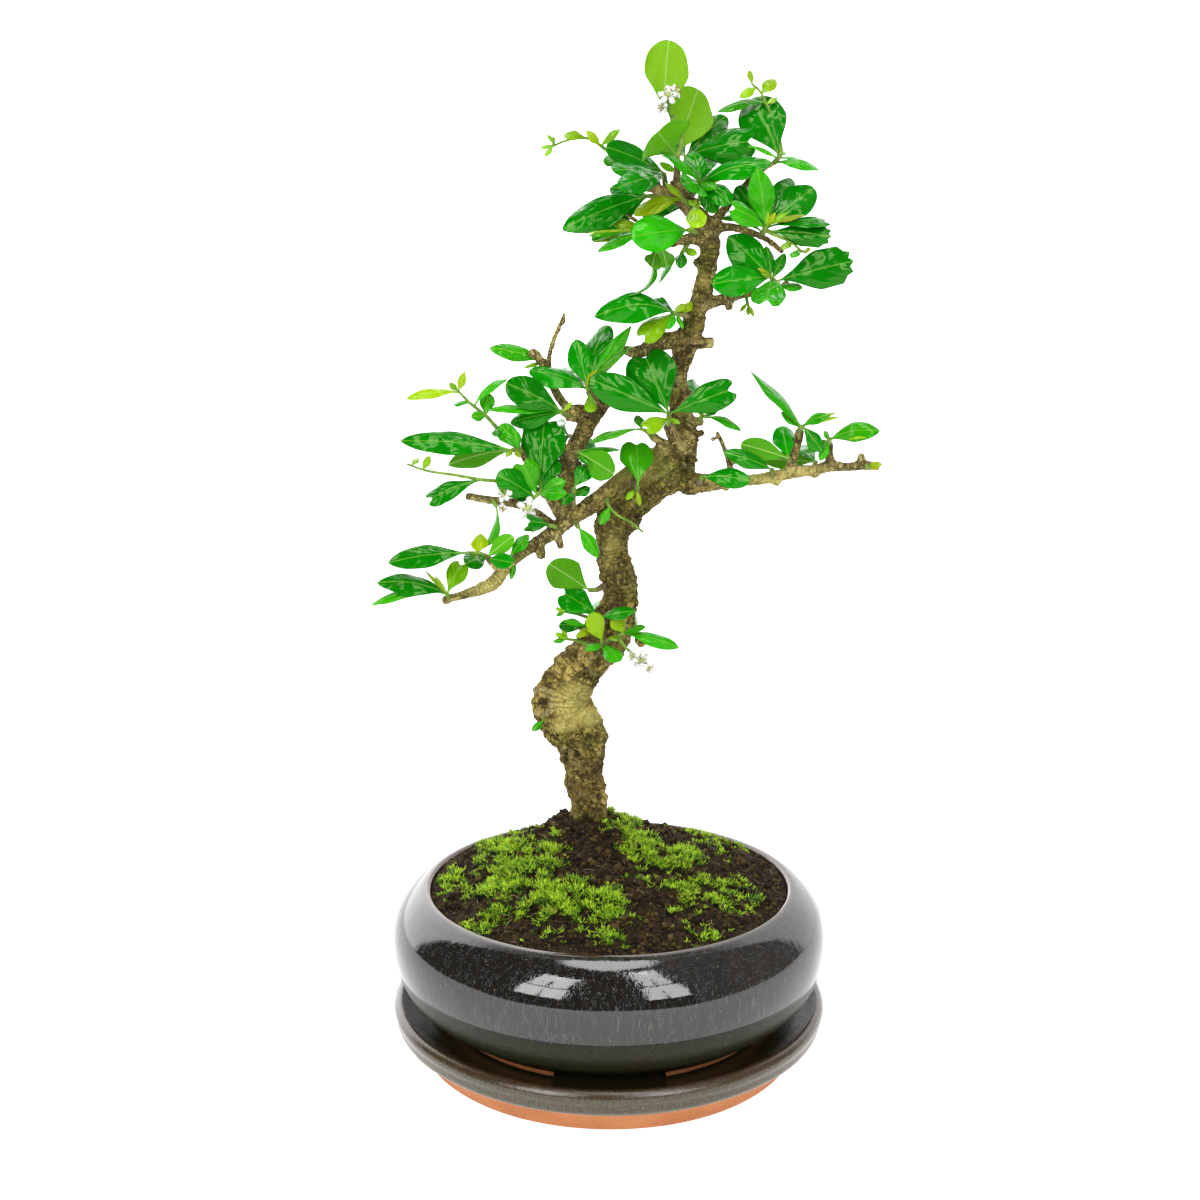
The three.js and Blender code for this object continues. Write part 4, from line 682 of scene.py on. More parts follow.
LIMBS = [
  # Left branch, which comes forward over the bend of the trunk
  [[683, 444, 11, 3.9], [668, 450, 8, 4.2], [652, 459, 5, 4.2], [636, 471, 2, 4.4],
    [618, 485, 0, 4.6], [600, 499, -3, 4.2], [585, 509, -5, 3.9], [570, 519, -6, 3.6],
    [555, 531, -7, 3.2], [538, 542, -9, 2.8], [520, 555, -12, 2.5], [505, 570, -14, 2.5],
    [494, 582, -16, 3.4], [484, 588, -17, 3.0], [466, 594, -19, 2.0], [443, 600, -21, 1.7]],
  # Rising branch behind it, its sawn end and its leafy twig
  [[566, 522, -6, 3.2], [562, 502, -3, 3.8], [566, 484, 0, 4.0], [567, 466, 2, 4.2],
    [577, 444, 5, 4.0], [587, 425, 7, 4.1], [599, 408, 9, 3.8], [607, 399, 10, 3.3]],
  [[592, 414, 8, 3.6], [579, 413, 5, 3.9], [567, 414, 3, 3.6]],
  [[599, 409, 9, 2.4], [594, 399, 7, 1.9], [588, 391, 5, 1.6]],
  [[561, 446, 1, 2.4], [569, 458, -1, 2.6], [580, 470, 0, 2.3]],
  [[572, 413, 4, 2.2], [558, 396, 5, 2.0], [545, 368, 5, 1.9], [534, 352, 4, 2.2]],
  [[551, 378, 5, 1.3], [549, 360, 5, 1.2], [553, 342, 4, 1.2], [561, 323, 3, 1.0], [565, 313, 3, 0.8]],
  # Short limb to the left of the upper trunk
  [[688, 343, 10, 4.2], [668, 341, 7, 3.9], [652, 346, 5, 3.3], [636, 352, 3, 2.6], [624, 350, 2, 2.0]],
  # Hidden limb that carries the left heads of leaves, and the bare twig beside it
  [[560, 515, -4, 2.7], [549, 496, -5, 2.3], [536, 474, -6, 2.0], [520, 451, -7, 1.6]],
  [[552, 524, -7, 2.0], [532, 510, -9, 1.8], [512, 503, -11, 2.1], [490, 500, -13, 1.8],
    [466, 496, -15, 1.7]],
  # Right branch and its upright twigs
  [[684, 482, 10, 5.6], [704, 483, 7, 4.0], [726, 481, 5, 3.4], [749, 480, 3, 2.5],
    [773, 477, 1, 2.7], [795, 472, -1, 2.7], [815, 470, -2, 2.5], [833, 466, -3, 2.5],
    [848, 467, -4, 1.9], [862, 465, -5, 2.3], [879, 467, -6, 1.6]],
  [[731, 472, 5, 1.5], [727, 456, 6, 1.3], [722, 443, 7, 1.1], [717, 432, 8, 0.9]],
  [[791, 473, -1, 2.4], [793, 460, -2, 1.9], [797, 445, -3, 1.9], [800, 430, -4, 2.0]],
  [[832, 467, -3, 2.1], [829, 454, -2, 1.9], [829, 442, -2, 2.0]],
  [[861, 466, -5, 1.9], [861, 455, -5, 1.7]],
  # Crown branches
  [[708, 241, 4, 3.4], [692, 239, 2, 2.7], [674, 242, -1, 2.2], [655, 249, -4, 1.5]],
  [[665, 246, -3, 1.3], [652, 234, -1, 1.1], [640, 224, 0, 1.0], [617, 207, -2, 0.9]],
  [[685, 201, 2, 2.8], [669, 194, -1, 2.6], [657, 189, -3, 2.4], [645, 185, -4, 2.3]],
  [[680, 194, 2, 1.8], [689, 199, 3, 1.7], [698, 203, 5, 1.5]],
  [[707, 233, 3, 2.6], [728, 227, 2, 1.9], [746, 231, 0, 1.6], [766, 239, -2, 1.4], [783, 252, -3, 1.1]],
  [[710, 227, 3, 2.6], [722, 212, 1, 2.0], [737, 194, 0, 1.6], [755, 176, -1, 1.3], [779, 159, -2, 1.0]],
  [[703, 305, 8, 3.2], [713, 302, 7, 2.7], [729, 298, 4, 2.3], [746, 293, 1, 2.0],
    [764, 292, -2, 1.6], [777, 290, -4, 1.4], [788, 281, -5, 1.1]],
  [[727, 299, 4, 1.8], [730, 309, 3, 1.7]],
  [[690, 343, 10, 2.8], [703, 343, 8, 2.6], [713, 343, 7, 2.3]],
  # Sawn stubs on the trunk
  [[682, 441, 9, 3.4], [672, 434, 3, 2.8], [668, 424, -1, 2.6]],
  [[668, 447, 8, 2.2], [652, 436, 3, 1.8]],
  [[686, 421, 12, 2.4], [702, 421, 11, 2.0]],
  [[557, 530, -7, 1.8], [561, 548, -8, 1.5]],
  [[540, 541, -9, 2.1], [541, 558, -10, 2.0]],
  [[506, 569, -14, 1.9], [496, 566, -15, 2.1], [487, 557, -16, 1.6]],
]
KNOBS = [
  [541, 702, 18, 5.2], [598, 664, 10, 4.6], [602, 798, 20, 3.6], [604, 577, 11, 3.6], [640, 640, 13, 3.6],
  [700, 422, 11, 2.4], [733, 461, 4, 2.3], [791, 466, -2, 2.9], [861, 457, -5, 2.3], [533, 353, 4, 2.7],
  [489, 500, -13, 2.5], [446, 601, -21, 2.3],
]
SHOOTS = [
  ["shoot_crown_top", "mid", [[[677, 186, 2, 1.9], [677, 172, 0, 1.5], [677, 160, -1, 1.2],
    [682, 142, 1, 0.9], [673, 115, 0, 0.7]],
    [[674, 122, 0, 0.7], [669, 112, -3, 0.6], [668, 97, -6.5, 0.55]],
    [[669, 112, -3, 0.6], [664, 108, -6.5, 0.5]]], [
    [665, 109, 669, 40, -2, 19, 168, 3, "ry"], [688, 152, 698, 89, 7, 21, 164, 2.5, "rg"],
    [686, 160, 657, 131, -24, 24, 180, 3, "hg"]]],
  ["shoot_crown_hub", "mid", [[[688, 199, 3, 1.4], [695, 191, -1, 1.2], [700, 183, -4, 1.0]]], [
    [699, 183, 661, 152, -10, 7, 62, 2, "em"], [698, 181, 693, 152, -9, 9, 20, 1.5, "rd"],
    [702, 180, 712, 154, -5, 8, 25, 1.5, "rd"], [698, 184, 682, 184, -14, 9, 40, 1.5, "rm"],
    [700, 186, 701, 196, -12, 7, 35, 1, "rm"], [703, 181, 772, 163, -12, 12, 42, 3.5, "ed"],
    [704, 183, 731, 204, -2, 10, 30, 2, "rd"], [702, 187, 716, 213, 0, 8, 25, 1.5, "rd"]]],
  ["shoot_crown_fan", "deep", [[[684, 196, 3, 1.3], [684, 176, 7, 1.1], [686, 156, 9, 0.9]]], [
    [688, 149, 756, 141, 8, 16, 28, 2.5, "hd"], [687, 151, 726, 116, 20, 11, 20, 2, "rd"],
    [685, 157, 668, 146, 30, 12, 30, 2, "rd"]]],
  ["shoot_right_top", "deep", [[[774, 163, -2, 1.1], [779, 157, -4, 1.0], [776, 130, 1, 0.7],
    [766, 103, 2, 0.6], [759, 90, 2, 0.5], [752, 84, 1, 0.45]]], [
    [777, 156, 752, 98, -10, 20, 12, 3, "rd"], [762, 104, 717, 112, 6, 7, 58, 2, "em"],
    [782, 161, 816, 167, 6, 6, 70, 1.5, "em"], [766, 170, 819, 170, -2, 7.5, 60, 2, "em"]]],
  ["shoot_right_crown", "mid", [[[760, 237, -2, 1.3], [764, 231, -6, 1.2], [767, 226, -8, 1.0]],
    [[765, 230, -6, 1.0], [778, 236, -8, 0.8], [791, 242, -10, 0.6], [802, 252, -12, 0.5]]], [
    [764, 226, 757, 168, -14, 11, 8, 2.5, "em"], [772, 219, 814, 188, -12, 14, 14, 2, "rd"],
    [760, 226, 730, 207, -18, 10, 35, 2, "hm"], [756, 229, 728, 211, -10, 5, 50, 1.5, "em"],
    [761, 222, 708, 219, -2, 5.2, 66, 2.5, "nm"], [768, 224, 805, 215, -12, 4.2, 58, 1.2, "ey"],
    [766, 228, 831, 222, -14, 9, 62, 2, "hd"], [768, 230, 832, 237, -18, 10.5, 22, 1.5, "td"],
    [770, 222, 795, 205, 14, 11, 24, 2, "rd"], [794, 245, 822, 241, -13, 3.8, 45, 1, "ey"],
    [758, 226, 737, 186, -2, 11, 20, 2, "rd"], [772, 218, 790, 178, 6, 10, 14, 2, "rd"]]],
  ["shoot_right_low", "deep", [[[780, 288, -5, 1.3], [775, 282, -8, 1.1], [771, 277, -9, 1.0]]], [
    [769, 274, 728, 236, -16, 15, 14, 2, "ed"], [769, 279, 712, 284, -15, 13, 12, 2.5, "rd"],
    [771, 281, 766, 305, -20, 14, 12, 2, "hm"], [778, 279, 854, 261, -16, 16.5, 10, 2.5, "td"],
    [784, 281, 803, 288, -9, 4.4, 30, 0.8, "sm"], [776, 276, 785, 253, -4, 5, 10, 1, "sd"],
    [773, 274, 766, 246, -4, 5.4, 24, 1.2, "ed"], [773, 275, 745, 258, 15, 12, 30, 2, "rd"]]],
  ["shoot_crown_centre", "young", [[[704, 222, 0, 1.2], [700, 214, -5, 1.0], [694, 207, -9, 0.9]]], [
    [694, 207, 698, 228, -13, 8.6, 5, 1.6, "ry"]]],
  ["shoot_crown_left", "mid", [[[700, 234, 1, 1.3], [693, 231, -3, 1.1], [688, 230, -5, 1.0]]], [
    [688, 230, 631, 237, -12, 15, 14, 2.5, "rm"]]],
  ["shoot_crown_back", "deep", [[[667, 193, 0, 1.4], [665, 182, 3, 1.2], [664, 173, 2, 1.0]]], [
    [664, 172, 606, 147, 6, 12, 30, 2, "rd"], [663, 175, 612, 170, -2, 10, 44, 1.5, "rd"],
    [667, 176, 618, 188, -10, 10, 26, 2.5, "rd"]]],
  ["shoot_crown_yellow", "mid", [[[690, 206, -1, 1.2], [687, 202, -4, 1.0], [682, 199, -6, 0.9]]], [
    [683, 199, 634, 215, -11, 7.8, 36, 3, "ry"]]],
  ["shoot_crown_dark", "deep", [[[664, 191, -3, 1.2], [655, 196, -1, 1.1], [648, 196, 1, 1.0]]], [
    [648, 196, 562, 230, -2, 14, 22, 3.5, "ed"], [648, 197, 591, 241, 6, 9.5, 30, 2, "ed"],
    [646, 196, 610, 188, 8, 9, 40, 1.5, "rd"], [649, 197, 604, 213, 26, 11, 24, 2.5, "rd"]]],
  ["shoot_crown_long", "mid", [[[659, 188, -2, 1.2], [656, 178, 1, 1.0], [640, 170, 8, 0.9],
    [620, 162, 6, 0.8],
    [611, 154, 3, 0.8], [601, 146, 1, 0.7], [590, 139, -1, 0.65], [578, 138, -3, 0.6],
    [565, 141, -4, 0.5], [553, 146, -5, 0.45]]], [
    [586, 138, 564, 137, -6, 5.4, 48, 2, "ry"], [602, 145, 621, 129, -2, 4.2, 30, 1.2, "ny"]]],
  ["shoot_crown_side", "mid", [[[660, 243, -3, 1.2], [651, 238, -7, 1.0], [643, 233, -8, 0.9]]], [
    [643, 233, 597, 252, -12, 5.2, 36, 1.5, "em"], [642, 231, 588, 236, -6, 4.4, 50, 1.5, "em"],
    [645, 235, 590, 243, -2, 3.8, 50, 1, "ny"], [644, 229, 610, 218, 4, 6, 30, 1, "sy"]]],
  ["shoot_crown_hang", "mid", [[[668, 244, -1, 1.2], [660, 250, -5, 1.0], [651, 247, -8, 0.8]]], [
    [650, 247, 628, 296, -14, 7, 66, -6, "em"]]],
  ["shoot_crown_under", "deep", [[[688, 242, 1, 1.3], [684, 250, -3, 1.0], [681, 254, -4, 0.8]]], [
    [679, 254, 659, 284, -6, 4.4, 62, 1.5, "em"]]],
  ["shoot_mid_left", "deep", [[[688, 316, 4, 1.4], [680, 314, 0, 1.2], [673, 313, -2, 1.0]]], [
    [672, 312, 594, 317, -12, 14, 30, 8, "ed"], [672, 314, 641, 339, -9, 10, 20, 1.5, "hy"],
    [676, 312, 640, 305, 18, 11, 36, 2.5, "rd"]]],
  ["shoot_heart", "deep", [[[668, 427, -2, 1.6], [669, 419, -5, 1.3], [669, 414, -6, 1.1]]], [
    [668, 413, 643, 352, -12, 22, 8, 2.5, "hd"], [665, 414, 589, 379, -9, 14.5, 10, 2.5, "rd"],
    [674, 414, 735, 388, -12, 13, 8, 2, "hd"], [665, 418, 644, 429, -11, 7.5, 20, 1, "hy"]]],
  ["shoot_mid_top", "deep", [[[593, 397, 5, 1.3], [589, 391, 1, 1.1], [587, 386, -1, 0.9]]], [
    [586, 386, 576, 339, -4, 11.4, 6, 1.5, "ed"], [584, 384, 607, 325, 12, 13, 32, 3, "rd"],
    [592, 385, 632, 325, 5, 7.4, 8, 0.8, "nm"], [597, 381, 634, 346, 3, 5, 50, 2, "nm"],
    [590, 392, 591, 413, -6, 5.4, 5, 0.6, "ty"], [585, 392, 529, 371, 1, 13, 46, 3, "rd"],
    [589, 387, 566, 366, 26, 12, 30, 2, "rd"]]],
  ["shoot_mid_front", "mid", [[[570, 416, 2, 1.2], [564, 414, -4, 1.1], [561, 411, -6, 1.0]]], [
    [561, 411, 506, 383, -12, 14, 16, 2.5, "rd"], [560, 413, 488, 410, -10, 6.4, 48, 2, "em"],
    [560, 415, 510, 423, 0, 9.5, 20, 2, "ed"]]],
  ["shoot_twig_left", "mid", [[[545, 365, 5, 1.0], [544, 361, 8, 0.8]]], [
    [543, 360, 489, 348, 4, 8, 24, 2.5, "em"]]],
  ["shoot_mid_olive", "mid", [[[652, 437, 2, 1.1], [646, 431, -3, 0.9], [641, 429, -5, 0.8]]], [
    [641, 430, 590, 443, -10, 5.6, 50, 2, "em"]]],
  ["shoot_mid_low", "mid", [[[632, 474, -1, 1.6], [636, 491, -8, 1.2], [638, 486, -11, 1.0]]], [
    [638, 485, 636, 441, -14, 14.4, 6, 1.8, "hm"]]],
  ["shoot_behind", "mid", [[[572, 455, 0, 1.5], [578, 452, -4, 1.2]]], [
    [579, 452, 614, 474, -7, 12.5, 170, 1.5, "rm"], [580, 449, 621, 450, -2, 4.6, 60, 1.2, "em"]]],
  ["shoot_front_low", "deep", [[[573, 510, -7, 1.5], [573, 497, -12, 1.2], [574, 488, -13, 1.0]]], [
    [574, 487, 590, 464, -14, 8, 16, 1.2, "rd"]]],
  ["shoot_left_head", "deep", [[[549, 497, -7, 1.5], [543, 494, -11, 1.3], [540, 490, -12, 1.1]],
    [[541, 492, -12, 0.9], [532, 500, -13, 0.7], [528, 507, -14.6, 0.6]]], [
    [541, 489, 545, 418, -15, 19, 8, 3, "td"], [535, 493, 521, 461, -18, 12, 6, 1.2, "hm"],
    [540, 493, 566, 481, -17, 7, 20, 1.5, "em"], [540, 495, 567, 494, -20, 6.5, 30, 1.2, "em"],
    [534, 496, 497, 474, -6, 12, 12, 1.5, "rd"], [533, 496, 512, 494, -12, 7, 20, 1, "sd"],
    [542, 490, 553, 455, 10, 12, 24, 2, "rd"]]],
  ["shoot_left_spur", "deep", [[[523, 453, -8, 1.3], [517, 450, -12, 1.1], [512, 450, -13, 1.0]]], [
    [511, 449, 400, 441, -18, 10.8, 26, 3, "ed"], [512, 453, 448, 465, -13, 9.4, 158, 3.5, "em"],
    [517, 449, 501, 424, -14, 8.6, 14, 1.2, "rm"], [518, 449, 515, 430, -16, 4.6, 14, 0.8, "sm"]]],
  ["shoot_left_rising", "young", [[[521, 452, -6.8, 1.2], [516, 444, -5, 1.1], [508, 438, -4, 1.0],
    [498, 429, -6, 0.9],
    [486, 416, -8, 0.8], [470, 403, -10, 0.65], [458, 391, -12, 0.5]]], [
    [459, 393, 406, 399, -16, 5.2, 34, 2.5, "ey"], [488, 414, 488, 393, -12, 6.6, 8, 0.8, "rm"],
    [477, 403, 508, 379, -5, 5, 46, 3, "em"]]],
  ["shoot_left_thin", "young", [[[546, 491, -5.2, 1.2], [535, 489, -9.5, 1.1], [518, 483, -12, 0.9],
    [498, 481, -15, 0.8],
    [484, 480, -17, 0.75], [455, 475, -19, 0.6], [424, 470, -20, 0.5], [407, 464, -20, 0.4]]], [
    [482, 480, 427, 501, -22, 9.5, 34, 2, "hd"]]],
  ["shoot_left_hang", "mid", [[[492, 499, -14, 1.2], [496, 506, -17, 0.9]]], [
    [496, 507, 483, 548, -15, 6, 56, -3, "em"]]],
  ["shoot_left_under", "mid", [[[559, 528, -7, 1.3], [553, 526, -11, 1.0], [549, 525, -12, 0.9]]], [
    [548, 525, 527, 521, -16, 7, 24, 1, "hd"]]],
  ["shoot_low_leaf", "mid", [[[574, 518, -7, 1.4], [578, 527, -12, 1.1]]], [
    [579, 528, 598, 558, -16, 7, 30, 1.5, "em"]]],
  ["shoot_low_under", "mid", [[[605, 585, 11, 1.5], [595, 590, 5, 1.2], [589, 590, 3, 1.0]]], [
    [588, 590, 549, 564, -6, 15, 172, 2, "rm"]]],
  ["peduncle_low", "young", [[[611, 492, -1, 1.2], [607, 502, -7, 0.8], [616, 514, -10, 0.6],
    [630, 522, -11, 0.55], [643, 532, -12, 0.5]]], [
    [610, 507, 600, 525, -11, 4.6, 20, 0.8, "sm"]]],
  ["shoot_low_left", "deep", [[[490, 561, -16, 1.3], [485, 556, -20, 1.2], [480, 554, -22, 1.0],
    [466, 553, -24, 0.8]]], [
    [466, 553, 388, 563, -32, 10.5, 24, 3, "ed"], [478, 553, 481, 533, -22, 7.4, 12, 0.8, "ny"],
    [488, 556, 513, 536, -20, 7.6, 168, 1.2, "rm"], [485, 557, 465, 564, -30, 8.4, 20, 1, "rd"],
    [490, 557, 513, 563, -27, 7, 16, 1, "rd"]]],
  ["shoot_low_mid", "mid", [[[515, 561, -13, 1.2], [512, 558, -16, 1.0], [510, 556, -17, 0.9]]], [
    [510, 556, 529, 535, -18, 6.4, 30, 1, "em"]]],
  ["shoot_left_tip", "deep", [[[449, 598, -21, 1.2], [447, 594, -25, 1.0]]], [
    [446, 593, 377, 583, -31, 11.5, 36, 4, "ed"], [445, 594, 370, 606, -33, 8, 62, 4, "em"],
    [447, 593, 462, 562, -27, 9, 8, 1, "hy"]]],
  ["shoot_trunk_dark", "deep", [[[606, 622, 7, 1.6], [601, 619, 2, 1.3], [599, 617, 0, 1.1]]], [
    [597, 616, 561, 592, -8, 13, 18, 2, "hd"], [602, 616, 636, 611, -6, 6.4, 30, 1.5, "ed"]]],
  ["shoot_trunk_side", "mid", [[[601, 632, 7, 1.6], [594, 630, 2, 1.3], [588, 627, 0, 1.1]]], [
    [587, 625, 562, 621, -6, 3.6, 50, 1, "em"], [586, 631, 559, 625, 2, 7, 26, 1, "rd"],
    [590, 628, 576, 638, -6, 3.8, 30, 0.6, "sy"]]],
  ["shoot_right_twist", "mid", [[[799, 432, -4, 1.4], [801, 428, -8, 1.1], [803, 426, -9, 1.0]]], [
    [800, 426, 743, 366, -14, 9.4, 34, 2, "em", 60], [800, 428, 781, 412, -9, 4.4, 30, 0.8, "em"],
    [804, 426, 830, 415, -14, 5.2, 30, 2, "em"], [804, 428, 822, 452, -8, 7, 20, 1.5, "ed"]]],
  ["shoot_right_stub", "mid", [[[829, 445, -2, 1.4], [829, 441, -6, 1.1], [830, 439, -7, 1.0]]], [
    [830, 438, 880, 431, -12, 9.4, 26, 4, "em"], [827, 441, 807, 450, -12, 6, 24, 1.5, "sm"],
    [828, 442, 820, 461, -10, 4.4, 20, 0.8, "em"]]],
  ["shoot_right_round", "deep", [[[790, 462, -3, 1.3], [788, 458, -8, 1.1]]], [
    [788, 457, 782, 426, -12, 10.2, 6, 1.2, "rd"], [784, 459, 741, 444, -4, 9.6, 170, 1.5, "rm"]]],
  ["shoot_right_dark", "deep", [[[772, 475, 0, 1.3], [772, 470, -6, 1.1]]], [
    [771, 469, 723, 452, -12, 8, 22, 2.5, "ed"]]],
  ["shoot_trunk_fork", "deep", [[[699, 484, 5, 1.6], [700, 480, -3, 1.3], [702, 477, -7, 1.1]]], [
    [703, 476, 750, 481, -12, 9.2, 18, 3, "rd"]]],
  ["shoot_trunk_nub", "mid", [[[699, 420, 9, 1.1], [704, 416, 5, 0.9], [706, 417, 4, 0.8]]], [
    [706, 418, 741, 431, 0, 4.8, 40, 2.5, "em"]]],
  ["shoot_trunk_light", "mid", [[[607, 648, 6, 1.6], [603, 644, 1, 1.3], [602, 641, -1, 1.1]],
    [[603, 643, 0, 1.2], [613, 638, -1, 1.1], [624, 633, -1, 1.0]],
    [[617, 636, -1, 1.0], [626, 648, -2, 0.7], [639, 658, -3.6, 0.6]]], [
    [602, 640, 591, 613, -8, 9, 16, 1, "ry"], [600, 648, 619, 662, -7, 8, 24, 1.2, "rm"],
    [600, 645, 585, 650, -5, 4.4, 30, 0.6, "sm"], [624, 632, 613, 615, -9, 8, 18, 1, "ry"],
    [622, 629, 646, 627, -5, 4.6, 44, 1, "em"], [626, 634, 679, 648, -7, 7.6, 34, 2, "em"]]],
  ["shoot_right_rear", "mid", [[[812, 471, -2, 1.4], [814, 466, 3, 1.1], [816, 462, 6, 1.0]]], [
    [815, 461, 762, 460, 9, 8.4, 160, 2, "em"], [814, 461, 770, 455, 26, 11, 40, 2, "rd"],
    [816, 460, 795, 446, 28, 10, 40, 1.5, "rd"]]],
  ["shoot_rear_crown", "deep", [[[688, 208, 4, 1.6], [694, 204, 13, 1.2], [698, 200, 21, 1.0]]], [
    [700, 199, 731, 195, 38, 13, 30, 2.5, "rd"], [695, 199, 660, 190, 38, 12, 30, 2.5, "rd"],
    [699, 197, 712, 168, 34, 12, 30, 2, "hd"], [693, 203, 640, 214, 27, 11, 40, 3, "ed"]]],
  ["shoot_rear_trunk", "deep", [[[680, 386, 12, 1.6], [678, 384, 20, 1.2], [674, 382, 26, 1.0]]], [
    [672, 381, 646, 372, 43, 14, 20, 2.5, "rd"], [677, 384, 704, 399, 44, 12, 30, 2, "rd"],
    [671, 383, 636, 396, 36, 12, 40, 2.5, "hd"]]],
  ["shoot_rear_low", "mid", [[[619, 605, 15, 1.7], [616, 606, 26, 1.2], [614, 606, 31, 1.0]]], [
    [612, 607, 588, 612, 47, 12, 30, 2, "rm"], [616, 607, 638, 620, 48, 11, 40, 2, "rm"],
    [614, 609, 611, 640, 45, 10, 30, 2, "rm"]]],
  ["shoot_rear_left", "deep", [[[577, 441, 6, 1.6], [574, 438, 14, 1.2], [570, 436, 19, 1.0]]], [
    [569, 436, 545, 452, 33, 13, 30, 2.5, "rd"], [571, 438, 598, 461, 34, 12, 40, 2.5, "rd"],
    [568, 434, 545, 424, 33, 12, 30, 2, "hd"]]],
]
